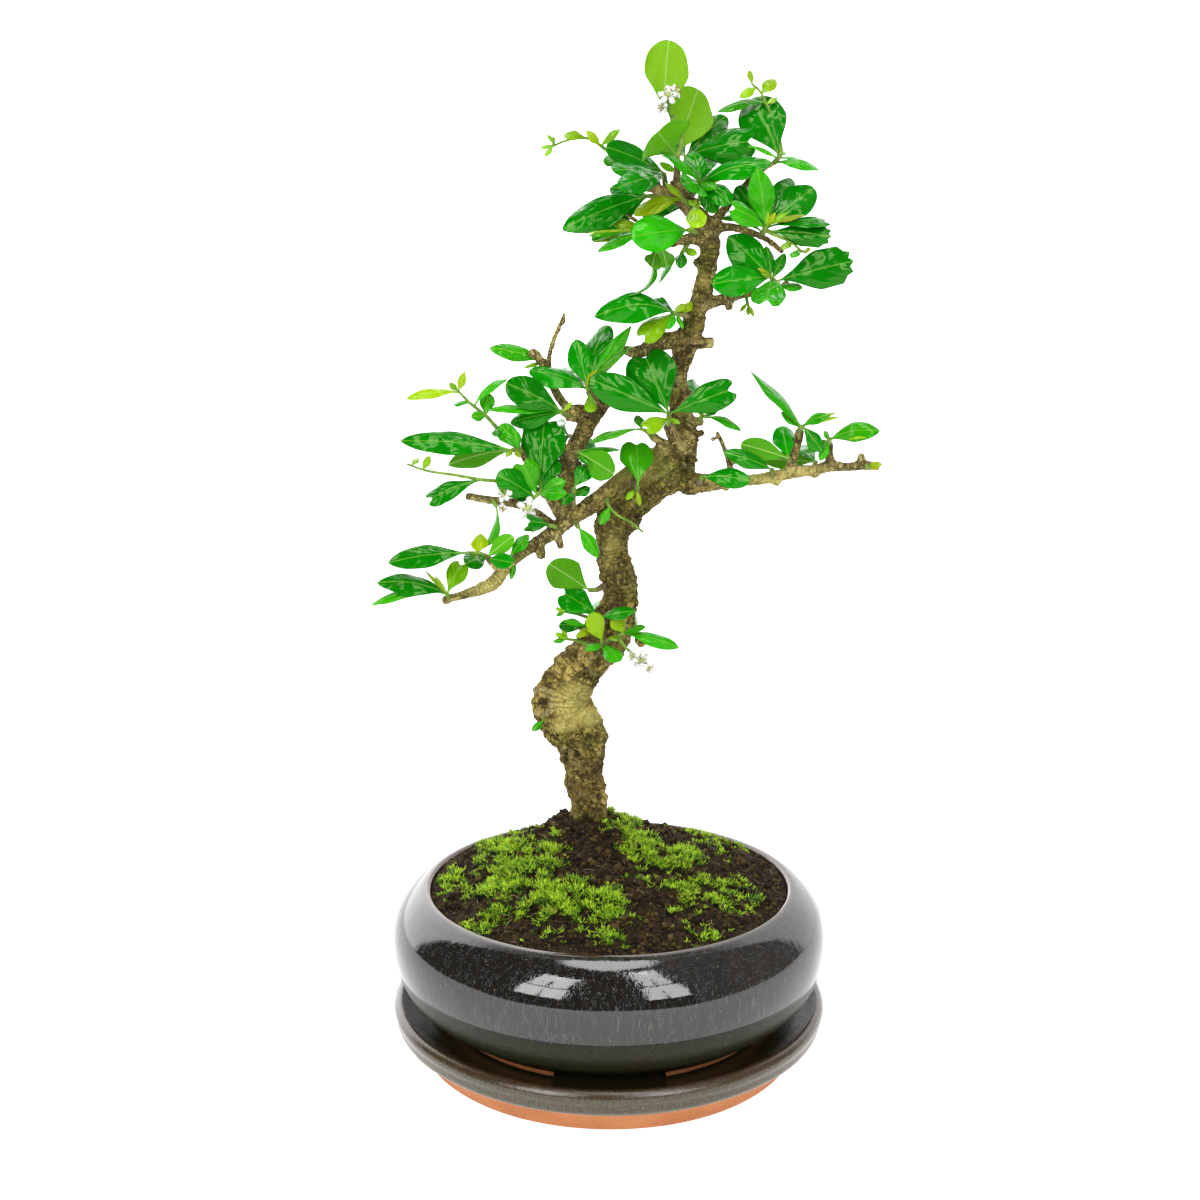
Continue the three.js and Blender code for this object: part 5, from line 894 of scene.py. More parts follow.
BUDS = {
    "shoot_crown_top": [[664, 172, 659, 163, -6, 3.5, 30, 0.5, "sy"]],
    "shoot_crown_hub": [[703, 182, 724, 178, -6, 3.4, 30, 1, "sy"], [704, 185, 716, 189, -9, 6, 40, 1, "sm"]],
    "shoot_right_top": [[776, 158, 747, 146, -8, 3.6, 60, 1.5, "nm"],
        [752, 84, 749, 70, 1, 3, 30, 0.5, "sy"], [767, 104, 778, 98, 4, 2.4, 30, 0.6, "sy"],
        [780, 160, 784, 151, -2, 4.4, 40, 0.6, "sm"], [762, 94, 775, 79, 0, 6, 20, 0.8, "ey"],
        [756, 88, 740, 98, -2, 4.6, 30, 1, "ey"]],
    "shoot_right_crown": [[767, 224, 768, 211, -12, 2.6, 20, 0.6, "ny"],
        [768, 224, 776, 212, -14, 2.6, 20, 0.6, "ny"], [768, 225, 789, 212, -15, 2.8, 20, 0.6, "ny"],
        [802, 251, 811, 250, -14, 3, 40, 0.5, "sy"], [790, 242, 783, 250, -13, 4.2, 30, 0.8, "sy"],
        [800, 250, 791, 258, -13, 4, 30, 0.8, "sm"]],
    "shoot_right_low": [[770, 277, 757, 268, -14, 2.4, 30, 0.8, "ny"],
        [771, 278, 761, 274, -15, 2.2, 30, 0.6, "ny"], [774, 282, 780, 284, -14, 2.6, 30, 0.4, "sy"]],
    "shoot_crown_centre": [[694, 207, 689, 200, -10, 2.2, 20, 0.4, "sy"],
        [694, 207, 696, 199, -11, 2.2, 20, 0.4, "sy"], [695, 208, 701, 203, -10, 2, 20, 0.4, "sy"]],
    "shoot_crown_left": [[686, 232, 695, 226, -8, 2.4, 30, 0.5, "sy"]],
    "shoot_crown_yellow": [[684, 201, 664, 182, -9, 3, 30, 0.6, "ny"]],
    "shoot_crown_long": [[555, 145, 547, 134, -5, 2, 30, 0.4, "sy"],
        [553, 146, 554, 136, -8, 2, 30, 0.4, "sy"], [554, 146, 540, 148, -3, 2.2, 40, 0.4, "sy"],
        [553, 147, 545, 157, -7, 2.4, 20, 0.4, "sy"], [600, 145, 586, 131, -3, 4.4, 30, 1, "ry"],
        [617, 160, 603, 162, 0, 4.8, 10, 0.5, "sm"]],
    "shoot_crown_side": [[643, 230, 584, 234, -14, 1.8, 60, 1.5, "ny"]],
    "shoot_crown_hang": [[657, 250, 652, 268, -8, 8, 168, 1.5, "rm"],
        [663, 250, 667, 268, -3, 8.4, 172, 1.5, "rm"]],
    "shoot_crown_under": [[686, 250, 697, 255, -6, 3.6, 20, 0.6, "sy"],
        [683, 253, 681, 269, -8, 5, 10, 1, "ed"]],
    "shoot_mid_left": [[674, 312, 685, 304, -4, 3.6, 30, 0.6, "sy"],
        [676, 314, 683, 329, -6, 2.4, 20, 0.5, "sm"], [682, 314, 692, 302, -1, 4.2, 20, 0.8, "sy"],
        [673, 315, 668, 330, -3, 5, 20, 0.8, "sm"]],
    "shoot_heart": [[672, 418, 680, 424, -10, 2.4, 20, 0.4, "sy"],
        [666, 418, 668, 426, -11, 2.2, 20, 0.4, "sy"]],
    "shoot_mid_top": [[586, 385, 598, 369, -7, 3.2, 20, 2.5, "ny"]],
    "shoot_mid_front": [[563, 412, 573, 401, -7, 2, 20, 0.4, "ny"]],
    "shoot_twig_left": [[541, 362, 522, 369, 4, 2.4, 30, 0.6, "ny"]],
    "shoot_mid_olive": [[642, 428, 637, 415, -3, 4.6, 20, 0.6, "sm"]],
    "shoot_mid_low": [[636, 489, 626, 500, -10, 2.8, 20, 0.5, "sy"],
        [638, 490, 640, 506, -9, 2.6, 20, 0.5, "sy"]],
    "shoot_behind": [[577, 456, 591, 466, -12, 3, 30, 0.5, "sd"]],
    "shoot_front_low": [[571, 492, 562, 505, -15, 5, 20, 1, "sd"],
        [572, 497, 590, 487, -13, 5.4, 30, 0.8, "sd"]],
    "shoot_left_spur": [[511, 452, 506, 457, -15, 2.6, 20, 0.4, "sy"],
        [515, 453, 520, 458, -15, 2.6, 20, 0.4, "sy"]],
    "shoot_left_rising": [[458, 391, 449, 383, -15, 3, 20, 0.5, "sy"],
        [459, 391, 465, 371, -12, 3.8, 15, 0.8, "ny"], [470, 404, 453, 405, -5, 4, 50, 1.2, "sm"],
        [486, 415, 471, 417, -13, 4.6, 10, 0.6, "sm"], [498, 428, 496, 437, -10, 4.6, 10, 0.5, "sd"]],
    "shoot_left_thin": [[423, 469, 430, 456, -21, 3.4, 15, 0.5, "sy"],
        [412, 466, 418, 458, -18, 3, 30, 0.5, "sy"]],
    "shoot_left_under": [[547, 523, 523, 530, -10, 3.6, 30, 0.8, "sd"],
        [549, 526, 531, 533, -13, 3.6, 60, 1.6, "em"]],
    "shoot_low_mid": [[513, 563, 511, 580, -18, 2.8, 15, 0.5, "sm"]],
    "shoot_left_tip": [[445, 592, 424, 570, -30, 2, 30, 0.5, "ny"],
        [445, 592, 416, 577, -27, 2, 30, 0.5, "ny"], [445, 593, 434, 575, -31, 2, 30, 0.5, "ny"]],
    "shoot_right_twist": [[806, 423, 841, 417, -8, 2.4, 40, 1.2, "ny"],
        [806, 424, 838, 412, -5, 2.2, 30, 1, "ny"]],
    "shoot_right_stub": [[833, 437, 868, 438, -16, 2.6, 40, 1, "ny"],
        [829, 440, 824, 431, -9, 2.6, 20, 0.4, "sm"]],
    "shoot_trunk_nub": [[703, 415, 698, 411, 2, 2.4, 20, 0.4, "sy"],
        [706, 416, 716, 408, 4, 4.6, 30, 0.6, "sd"]],
    "shoot_trunk_light": [[617, 637, 610, 640, -8, 4, 30, 0.6, "sy"]],
}

# Shoots of bud leaves only, which stand on the wood: stems, then leaves
BUD_SHOOTS = [
    ("buds_right_low", [[[746, 295, 0, 0.9], [747, 301, -3, 0.7], [748, 305, -4, 0.6]]],
     [[747, 303, 740, 312, -5, 1.9, 20, 0.4, "sy"], [748, 305, 748, 316, -6, 1.9, 20, 0.4, "sy"],
      [748, 304, 754, 317, -4, 1.9, 20, 0.4, "sy"]]),
    ("buds_right_end", [[[866, 468, -6, 1.2], [868, 466, -10, 1.0]]],
     [[867, 467, 882, 464, -12, 3.4, 10, 0.4, "ey"]]),
    ("buds_trunk_left", [[[553, 706, 12, 0.9], [546, 715, 9, 0.7], [543, 721, 8, 0.6]]],
     [[543, 721, 532, 731, 6, 3.6, 10, 0.4, "sm"]]),
    ("buds_trunk_knob", [[[588, 644, 6, 0.9], [574, 640, 1, 0.7], [566, 639, -1, 0.6]]],
     [[566, 639, 555, 633, -3, 2.6, 10, 0.4, "sy"], [567, 639, 553, 642, -2, 2.8, 30, 0.4, "sm"],
      [568, 639, 562, 630, 0, 2.2, 20, 0.4, "sy"]]),
    ("buds_trunk_top", [[[590, 618, 6, 0.8], [572, 613, 1, 0.6], [564, 612, 0, 0.5]]],
     [[565, 612, 555, 608, -2, 2.0, 10, 0.4, "sy"], [565, 612, 556, 616, -1, 2.2, 30, 0.4, "sm"]]),
]

# Wood

TRUNK_FOOT = place(589, 826, 26)
SURFACE_ROOTS = [  # How far each runs, east and north of the trunk's foot, and its radius
    (-31, -7, 3.4), (-16, -22, 3.8), (13, -17, 4.0), (24, 5, 3.4), (3, 21, 3.6), (-20, 14, 3.2),
]
ROOT_RUN = [(0.05, -5, 1.25), (0.35, 1, 1.0), (0.7, 5, 0.8), (1.0, 12, 0.5)]
SMALL_KNOBS = [  # Pixel, depth and radius of scars, buds and stubs too small for the solids
    (566, 757, 15, 3.4), (576, 757, 14, 3.0), (636, 603, 12, 2.0), (701, 433, 10, 1.7), (713, 439, 8, 1.2),
    (776, 482, 1, 1.9), (815, 475, -2, 1.6), (726, 488, 5, 1.4), (563, 321, 3, 1.4), (672, 462, 2, 3.4),
    (690, 395, 12, 2.2), (697, 262, 6, 2.2), (620, 210, -2, 1.3),
]
SCARS = [  # Pixel, depth and radius of ringed hollows where limbs were cut off
    (541, 702, 18, 5.6), (564, 757, 14, 3.6), (577, 757, 13, 3.4), (600, 798, 20, 2.8), (598, 664, 10, 4.2),
    (640, 640, 13, 3.0), (690, 460, 8, 3.4), (700, 300, 6, 2.6),
]
# Patches of bark as the camera sees them: middle pixel, half width and half height
PALE_BARK = [
    (572, 704, 24, 26), (566, 724, 18, 10), (612, 545, 10, 14), (770, 476, 60, 12), (500, 575, 50, 30),
    (588, 716, 18, 14), (640, 470, 50, 16),
]
GREEN_BARK = [
    (634, 592, 14, 46), (646, 515, 24, 26), (668, 470, 30, 26), (598, 735, 26, 16), (560, 742, 18, 12),
    (612, 648, 22, 14), (706, 262, 10, 24), (688, 318, 12, 30), (592, 680, 18, 12), (560, 470, 14, 40),
]
RUSTY_BARK = [
    (592, 770, 24, 14), (582, 790, 20, 12), (604, 630, 14, 18), (684, 205, 18, 12), (598, 408, 20, 12),
    (616, 590, 8, 30), (690, 345, 14, 12),
]
DARKER_FOOT_REACH = 11.0
WOOD_VOXEL = 0.70
GREENER_BARK = (0.175, 0.215)  # Heights in metres


def limb_path(rows, spacing):
    return flow([[*place(px, py, depth), radius] for px, py, depth, radius in rows], spacing)


def root_paths():
    paths = []
    for east, north, radius in SURFACE_ROOTS:
        rows = [[*(TRUNK_FOOT + [east * part, north * part, -drop]), radius * taper]
                for part, drop, taper in ROOT_RUN]
        paths.append(flow(rows, 1.5))
    return paths


def wood_paths():
    """The centre lines of the wood, the trunk first, each with its radius."""
    paths = [limb_path(TRUNK, 2.0)]
    paths += [limb_path(rows, 1.6) for rows in LIMBS]
    return paths + root_paths()


def raw_wood(paths):
    """Round bars along the paths and balls for the knobs, which run into one another."""
    build = Build()
    round_points, round_faces = ball(8, 12)
    for number, path in enumerate(paths):
        sides = 16 if number == 0 else 12
        swell = None
        if number == 0:
            ring = np.linspace(0, len(TRUNK) - 1, len(path))[:, None]
            turn = (2 * math.pi * np.arange(sides) / sides)[None]
            swell = 1 + 0.06 * np.sin(3 * turn + 0.9 * ring) + 0.04 * np.sin(2 * turn - 1.7 * ring)
        build.add(*tube(path, sides, swell))
    for px, py, depth, radius in KNOBS:
        build.add(place(px, py, depth) + round_points * radius * 0.80, round_faces)
    for px, py, depth, radius in SMALL_KNOBS:
        build.add(place(px, py, depth) + round_points * radius, round_faces)
    return build.mesh("raw_wood")


def remeshed(mesh, voxel):
    """The mesh's pieces grown into one skin of even faces."""
    source = bpy.data.objects.new("remesh_source", mesh)
    bpy.context.scene.collection.objects.link(source)
    skin = source.modifiers.new("skin", "REMESH")
    skin.mode = "VOXEL"
    skin.voxel_size = voxel * MM
    soft = source.modifiers.new("soft", "SMOOTH")
    soft.factor, soft.iterations = 0.5, 3
    graph = bpy.context.evaluated_depsgraph_get()
    made = bpy.data.meshes.new_from_object(source.evaluated_get(graph))
    bpy.data.objects.remove(source)
    return made


def mesh_arrays(mesh):
    points = np.zeros(len(mesh.vertices) * 3, np.float32)
    normals = np.zeros(len(mesh.vertices) * 3, np.float32)
    mesh.vertices.foreach_get("co", points)
    mesh.vertex_normals.foreach_get("vector", normals)
    return points.reshape(-1, 3).astype(float) / MM, normals.reshape(-1, 3).astype(float)


def nearest_rows(points, rows):
    """For each point the number of the nearest row."""
    tree = kdtree.KDTree(len(rows))
    for number, row in enumerate(rows):
        tree.insert(row[:3], number)
    tree.balance()
    return np.array([tree.find(point)[1] for point in points])


def creases(points, size, seed, wide):
    """1 in a net of narrow creases about size apart, and 0 between them."""
    return 1 - ease(np.abs(noise(points, size, seed)), 0, wide)


PIXELS_PER_MM = FOCAL / 600  # At the trunk's distance from the camera


def scar_relief(points, normals):
    """Hollows with a raised ring, where a scar faces the camera."""
    relief = np.zeros(len(points))
    seen = seen_at(points)
    facing = ease(np.sum(normals * unit(EYE - points), axis=1), 0.1, 0.5)
    for px, py, depth, radius in SCARS:
        near = np.linalg.norm(points - place(px, py, depth), axis=1) < radius * 2.6
        off = np.hypot(seen[:, 0] - px, seen[:, 1] - py) / PIXELS_PER_MM / radius
        ring = 0.34 * np.exp(-(((off - 0.95) / 0.28) ** 2)) - 0.45 * np.exp(-((off / 0.50) ** 2))
        ring -= 0.16 * np.exp(-(((off - 1.45) / 0.16) ** 2))
        relief += np.where(near, ring * radius * facing, 0)
    return relief


def bark_relief(points, normals, rows, ways, along):
    """How far the bark stands out at each point, and how deep it lies below the smooth wood, which its colour
    paints as shade.
    """
    near = nearest_rows(points, rows)
    radius = rows[near, 3]
    axis, run = ways[near], along[near]
    thick = np.clip(radius / 7.0, 0.22, 1.0)
    lumps = 0.085 * radius * noise(points, 9.0, 1) + 0.060 * radius * noise(points, 4.2, 2)
    lengthways = np.sum(points * axis, axis=1)[:, None] * axis
    drawn = points - 0.62 * lengthways
    stacked = points + 0.9 * lengthways
    flaky = ease(noise(points, 11.0, 7), -0.45, 0.25)
    nets = 0.60 * creases(drawn, 3.4, 3, 0.17) + 0.55 * creases(stacked, 3.2, 4, 0.18) * flaky
    nets += 0.35 * creases(points, 2.0, 5, 0.20)
    pits = 0.25 * ease(noise(points, 2.4, 8), 0.50, 0.80)
    warts = 0.85 * ease(noise(points, 2.9, 9), 0.38, 0.8)
    fine = 0.30 * noise(points, 1.3, 10) + 0.15 * noise(points, 0.9, 11)
    wander = 1.1 * noise(points, 5.0, 12)
    rings = 0.16 * np.sin(2 * math.pi * (run / 2.1 + wander)) * flaky
    scars = scar_relief(points, normals)
    # How deep the bark lies, which the material paints as shade in the hollows and as highlight where the
    # bark stands out
    hollow = thick * (nets + pits - 0.5 * warts - 0.5 * fine) - 0.6 * scars
    return lumps + scars + thick * (warts + fine + rings - nets - pits), hollow, radius


def far_out(seen, px, py, half_width, half_height):
    """How far pixels lie from the middle of a patch, where 1 is its edge."""
    return np.hypot((seen[:, 0] - px) / half_width, (seen[:, 1] - py) / half_height)


def patch_share(seen, patches):
    """1 within patches of bark, 0 away from them, and smooth between."""
    share = np.zeros(len(seen))
    for patch in patches:
        share = np.maximum(share, 1 - ease(far_out(seen, *patch), 0.45, 1.2))
    return share


def distance_along(path):
    """How far along a path each of its rows lies."""
    return np.concatenate([[0], np.cumsum(np.linalg.norm(np.diff(path[:, :3], axis=0), axis=1))])


def make_wood():
    paths = wood_paths()
    mesh = remeshed(raw_wood(paths), WOOD_VOXEL)
    points, normals = mesh_arrays(mesh)
    rows = np.vstack(paths)
    ways = np.vstack([unit(np.gradient(path[:, :3], axis=0)) for path in paths])
    along = np.concatenate([distance_along(path) for path in paths])
    relief, hollow, radius = bark_relief(points, normals, rows, ways, along)
    points = points + normals * relief[:, None]
    points[:, 0] = np.minimum(points[:, 0], CAD_BOX[1][0] / MM - 0.05)
    mesh.vertices.foreach_set("co", (points * MM).ravel())
    mesh.update()
    mesh.polygons.foreach_set("use_smooth", np.ones(len(mesh.polygons), bool))
    seen = seen_at(points)
    speckled = 0.5 + 0.5 * noise(points, 5.0, 22) + 0.3 * noise(points, 2.2, 23)
    away = ease(normals[:, 1], 0.2, 0.7)
    clouded = 0.6 * ease(noise(points, 16.0, 21), 0.0, 0.6)
    green = np.maximum(patch_share(seen, GREEN_BARK) * (1 - away), clouded)
    # Darker low down, near the soil
    darker_foot = 1 - ease(points[:, 2] - SOIL_TOP - 18 - DARKER_FOOT_REACH * speckled, -3, 6)
    near = nearest_rows(points, rows)
    drawn = points - 0.66 * np.sum(points * ways[near], axis=1)[:, None] * ways[near]
    layers = {
        "bark": (hollow, green * speckled, radius / 12),
        "drawn": tuple(drawn.T * MM),
        "patch": (patch_share(seen, PALE_BARK) * (1 - away), patch_share(seen, RUSTY_BARK), darker_foot),
    }
    for name, columns in layers.items():
        store(mesh, name, np.column_stack(columns))
    piece("wood_bark", mesh, [bark_material()], ["wood"])


def bark_material():
    """Tan bark with plates, cracks and grain, coloured by patches and darker at the foot, with painted shade
    in its hollows and a painted highlight where it stands out.
    """
    shader = Shader("bark")
    bark, patch = shader.value("bark"), shader.value("patch")
    hollow, green, thick = (shader.part(bark, k) for k in range(3))
    pale, rusty, darker_foot = (shader.part(patch, k) for k in range(3))
    drawn = shader.value("drawn")
    cloud = shader.noise(150, 4, 0.6)
    grain = shader.noise(560, 5, 0.80, drawn)
    crumbly = shader.noise(900, 4, 0.75)
    twist = shader.node("TexNoise", {"Vector": drawn, "Scale": 300.0, "Detail": 3.0}, output=1)
    bent = shader.node("Mix", {"Factor": 0.0035, 4: drawn, 5: twist}, output=1, data_type="VECTOR")
    plates = shader.ramp(shader.cells(250, bent, "DISTANCE_TO_EDGE"), 0.13, 0.02)
    small = shader.ramp(shader.cells(560, bent, "DISTANCE_TO_EDGE"), 0.17, 0.02)
    crack = shader.times(plates, shader.ramp(shader.noise(130, 3), 0.40, 0.56, 0.0, 1.0))
    crack = shader.most(crack, shader.times(small, shader.ramp(shader.noise(210, 3), 0.40, 0.60, 0.0, 0.8)))
    smooth = shader.times(pale, 0.92)
    crack = shader.times(crack, shader.minus(1.0, smooth))
    trunk = shader.mix(shader.ramp(cloud, 0.34, 0.66), (0.345, 0.240, 0.050), (0.490, 0.370, 0.095))
    twig = shader.mix(shader.ramp(cloud, 0.35, 0.65), (0.280, 0.205, 0.062), (0.460, 0.370, 0.135))
    color = shader.mix(shader.ramp(thick, 0.42, 0.22), trunk, twig)
    broken = shader.times(shader.ramp(cloud, 0.30, 0.56, 0.30, 1.0),
                          shader.ramp(grain, 0.36, 0.52, 0.45, 1.0))
    color = shader.mix(shader.times(shader.times(pale, broken), 0.85), color, (0.50, 0.45, 0.125))
    rust = shader.times(rusty, shader.ramp(cloud, 0.3, 0.6, 0.2, 0.9))
    color = shader.mix(rust, color, (0.150, 0.082, 0.032))
    color = shader.mix(shader.ramp(grain, 0.50, 0.66, 0.0, 0.60), color, (0.64, 0.56, 0.22))
    color = shader.mix(shader.ramp(grain, 0.48, 0.36, 0.0, 0.60), color, (0.050, 0.036, 0.009))
    color = shader.mix(shader.ramp(crumbly, 0.44, 0.34, 0.0, 0.45), color, (0.050, 0.038, 0.008))
    grown = shader.times(shader.ramp(green, 0.12, 0.6),
                         shader.ramp(shader.noise(360, 3, 0.65), 0.36, 0.54, 0.15, 1.0))
    color = shader.mix(shader.times(grown, 0.75), color, (0.110, 0.135, 0.010))
    high = shader.times(shader.ramp(shader.part(shader.place, 2), *GREENER_BARK),
                        shader.ramp(thick, 0.28, 0.42))
    color = shader.mix(shader.times(high, 0.5), color, (0.072, 0.076, 0.011))
    color = shader.mix(shader.times(crack, 0.85), color, (0.020, 0.014, 0.005))
    # Painted shade in the hollows of the bark, and a painted highlight where it stands out
    color = shader.mix(shader.ramp(hollow, 0.45, 1.20, 0.0, 0.75), color, (0.022, 0.016, 0.006))
    color = shader.mix(shader.ramp(hollow, -0.05, -0.6, 0.0, 0.35), color, (0.46, 0.41, 0.21))
    color = shader.mix(shader.times(darker_foot, 0.90), color, (0.012, 0.011, 0.004))
    rough = shader.ramp(grain, 0.3, 0.7, 0.72, 0.92)
    height = shader.minus(shader.plus(grain, shader.times(crumbly, 0.6)), crack)
    return shader.surface(color, rough, shader.bump(height, 0.0013, 1.0), Specular_IOR_Level=0.15)


# Leaves and stems

# By kind: where along the blade it is widest, how fast it widens, and how far it is cupped
BLADE_FORMS = {
    "r": (0.60, 1.3, 0.24), "h": (0.65, 1.56, 0.26), "t": (0.60, 1.76, 0.22),
    "e": (0.58, 1.25, 0.30), "n": (0.50, 1.2, 0.35), "s": (0.55, 1.1, 0.30),
}
BLADE_APEX = {"t": 1.0, "h": 0.9, "r": 1.0, "e": 1.0, "n": 1.0, "s": 1.0}
TOOTH_ACROSS = [0, 0.22, 0.5, 0.62, 0.94, 1]
TOOTH_REACH = [1, 0.8625, 0.9375, 0.75, 0.6, 0]
TOOTHED_GRID = [0, 0.11, 0.22, 0.36, 0.5, 0.56, 0.62, 0.78, 0.94, 0.985, 1]
SMALL_BLADE_LENGTH = 9.5
BLADE_PROPORTION = 1.9
MOST_LEAN = 15.0
STEEP = 0.45
SHOWS_UNDERSIDE = 90  # A leaf that is rolled further than this shows its underside
VEINS, VEIN_SWEEP, VEIN_CURVE = 4.8, 1.7, 0.5
TIP_STEPS = [0, -3, 3, -6, 6, -9, 9, -12, 12, -16, 16, -20, 20, -25, 25, -31, 31]
SOLID_HALF = 0.34
LEAST_HALF_WIDTH = 0.45
SHADES = {"d": (0.0007, 0.145, 0.0002), "m": (0.017, 0.240, 0.0004), "g": (0.078, 0.278, 0.0004),
          "y": (0.145, 0.285, 0.0008)}
FLAT, SMALL = (20, 12), (10, 6)


def stem_point(stems, px, py):
    """The place on the stems, as pixel and depth, that shows nearest to a pixel."""
    best, found = 1e9, None
    for stem in stems:
        for (ax, ay, ad, _), (bx, by, bd, _) in zip(stem, stem[1:]):
            span = (bx - ax) ** 2 + (by - ay) ** 2
            part = min(max(((px - ax) * (bx - ax) + (py - ay) * (by - ay)) / span, 0), 1)
            near = (ax + (bx - ax) * part, ay + (by - ay) * part, ad + (bd - ad) * part)
            distance = math.hypot(px - near[0], py - near[1])
            if distance < best:
                best, found = distance, near
    return found


def read_leaf(stems, row, step):
    """A leaf's base, tip, form and upper side from its row, as the solids have them."""
    bx, by, tx, ty, depth, width, roll, arch, kind = row[:9]
    start = stem_point(stems, bx, by)
    base = place(*start)
    seen = np.linalg.norm(place(tx, ty, depth) - base)
    lean = min(math.sqrt(max((BLADE_PROPORTION * width) ** 2 - seen**2, 0)), MOST_LEAN)
    climb = (by - ty) / math.hypot(tx - bx, ty - by)
    if roll < SHOWS_UNDERSIDE and abs(climb) > STEEP:
        way = 1 if climb > 0 else -1
    else:
        way = -1 if depth < start[2] else 1
    tip = place(tx, ty, depth + way * lean + step)
    form = "s" if np.linalg.norm(tip - base) < SMALL_BLADE_LENGTH and kind[0] != "n" else kind[0]
    along = unit(tip - base)
    to_eye = EYE - (base + tip) / 2
    to_eye = unit(to_eye - along * (along @ to_eye))
    to_sky = np.cross(along, to_eye)
    to_sky = -to_sky if to_sky[2] < 0 else to_sky
    up = to_eye * math.cos(math.radians(roll)) + to_sky * math.sin(math.radians(roll))
    twist = row[9] if len(row) > 9 else 0.0
    return {"base": base, "tip": tip, "width": width, "arch": arch, "twist": twist, "form": form, "up": up}


def blade_points(leaf, t, s, h):
    """Points of a blade: t from base to apex, s across it and h through it."""
    axis = leaf["tip"] - leaf["base"]
    length = np.linalg.norm(axis)
    axis = axis / length
    t, s, h = (np.asarray(v, float) for v in np.broadcast_arrays(t, s, h))
    up = turned_about(np.broadcast_to(leaf["up"], t.shape + (3,)), axis, np.radians(leaf["twist"] * t))
    side = np.cross(axis, up)
    slope = leaf["arch"] * 4 * (1 - 2 * t) / length
    normal = unit(up - slope[..., None] * axis)
    out = s * leaf["width"] / 2
    fall = BLADE_FORMS[leaf["form"]][2] * np.abs(out) * np.abs(s)
    rise = leaf["arch"] * 4 * t * (1 - t)
    return (leaf["base"] + axis * (length * t)[..., None] + up * rise[..., None]
            + side * out[..., None] + normal * (h - fall)[..., None])


def apex_share(form, b):
    """How far past its widest place the rim reaches at b, from 1 on the midrib to 0 at the side."""
    b = np.abs(b)
    if form == "r":
        return np.sqrt(np.maximum(1 - b**2, 0))
    if form == "h":
        return np.sqrt(np.maximum(1 - b**4, 0)) * (1 - 0.286 * (1 - ease(b, 0, 0.4)))
    if form == "t":
        return np.interp(b, TOOTH_ACROSS, TOOTH_REACH)
    if form == "n":
        return np.maximum(1 - b, 0) ** 0.55
    return np.maximum(1 - b, 0) ** 0.6 * (1 + 0.35 * b)


def vein_phase(t, s):
    """Runs from one side vein to the next as it grows by 1."""
    return VEINS * t - VEIN_SWEEP * np.abs(s) - VEIN_CURVE * s * s


def two_sided(shape):
    """Numbers for a blade's upper and lower points, which share its rim, and which lie inside the rim."""
    inner = np.zeros(shape, bool)
    inner[:-1, 1:-1] = True
    over = np.arange(inner.size).reshape(shape)
    below = over.copy()
    below[inner] = inner.size + np.arange(inner.sum())
    return over, below, inner


def quads(numbers):
    """Faces between the rows and columns of a grid of point numbers."""
    corners = [numbers[:-1, :-1], numbers[:-1, 1:], numbers[1:, 1:], numbers[1:, :-1]]
    return np.stack(corners, axis=-1).reshape(-1, 4)


def add_leaf(build, leaf, shade, random, grid):
    """A thin closed blade with a grooved midrib, faint quilting between its veins and a wavy edge."""
    widest, speed, _ = BLADE_FORMS[leaf["form"]]
    rows, half_columns = grid
    half_width = leaf["width"] / 2
    if leaf["form"] == "t" and grid is FLAT:
        positive = np.array(TOOTHED_GRID)
    else:
        positive = np.sin(math.pi / 2 * np.linspace(0, 1, half_columns + 1))
    b = np.concatenate([-positive[:0:-1], positive])
    a = 1 - (1 - np.linspace(0, 1, rows + 1)) ** 1.4
    a, b = np.meshgrid(a, b, indexing="ij")
    reach = widest + (1 - widest) * apex_share(leaf["form"], b)
    t = a * reach
    spread = np.sin(math.pi / 2 * np.clip(a, 0, 1) ** speed)
    s = b * np.maximum(spread, LEAST_HALF_WIDTH / half_width)
    out = s * half_width
    size = min(half_width / 8, 1.2)
    waves = random.uniform(0, 6.3, 3)
    edge = 0.60 * size * np.abs(s) ** 2.5 * np.sin(2 * math.pi * t * 1.9 + waves[0] + (s > 0) * waves[1])
    edge = edge * ease(t, 0.15, 0.5)
    quilt = 0.05 * size * np.cos(2 * math.pi * vein_phase(t, s))
    quilt = quilt * ease(np.abs(s), 0.04, 0.25) * ease(1 - np.abs(b), 0, 0.2)
    cockle = 0.62 * size * np.sin(5 * t + 3 * s + waves[2]) * ease(np.abs(s), 0, 0.8)
    surface = edge - quilt + cockle
    groove = np.exp(-((out / 0.42) ** 2)) * ease(1 - a, 0, 0.25)
    full = np.sqrt(np.clip((1 - np.abs(b) ** 5) * (1 - a**9), 0, 1))
    thick = (0.16 + 0.20 * ease(0.25 - t, 0, 0.2)) * full
    top = blade_points(leaf, t, s, surface + thick - 0.26 * size * groove)
    under = blade_points(leaf, t, s, surface - thick - 0.24 * size * groove)
    numbers, under_numbers, inner = two_sided(t.shape)
    points = np.vstack([top.reshape(-1, 3), under[inner]])
    over, below = numbers[0], under_numbers[0]
    root = np.stack([over[1:-2], below[1:-2], below[2:-1], over[2:-1]], axis=-1)
    root_ends = np.array([[over[0], below[1], over[1]], [over[-2], below[-2], over[-1]]])
    tone = random.normal(0, 1)
    color = np.array(SHADES[shade]) * np.exp([0.22 * random.normal() + 0.1 * tone, 0.13 * tone, 0.2 * tone])
    blade = np.column_stack([np.concatenate([t.ravel(), t[inner]]), np.concatenate([s.ravel(), s[inner]]),
                             np.full(len(points), half_width / 10)])
    build.add(points, [quads(numbers), root, root_ends], 0, blade=blade, tint=color)
    build.more_faces(quads(under_numbers)[:, ::-1], 1, len(points))


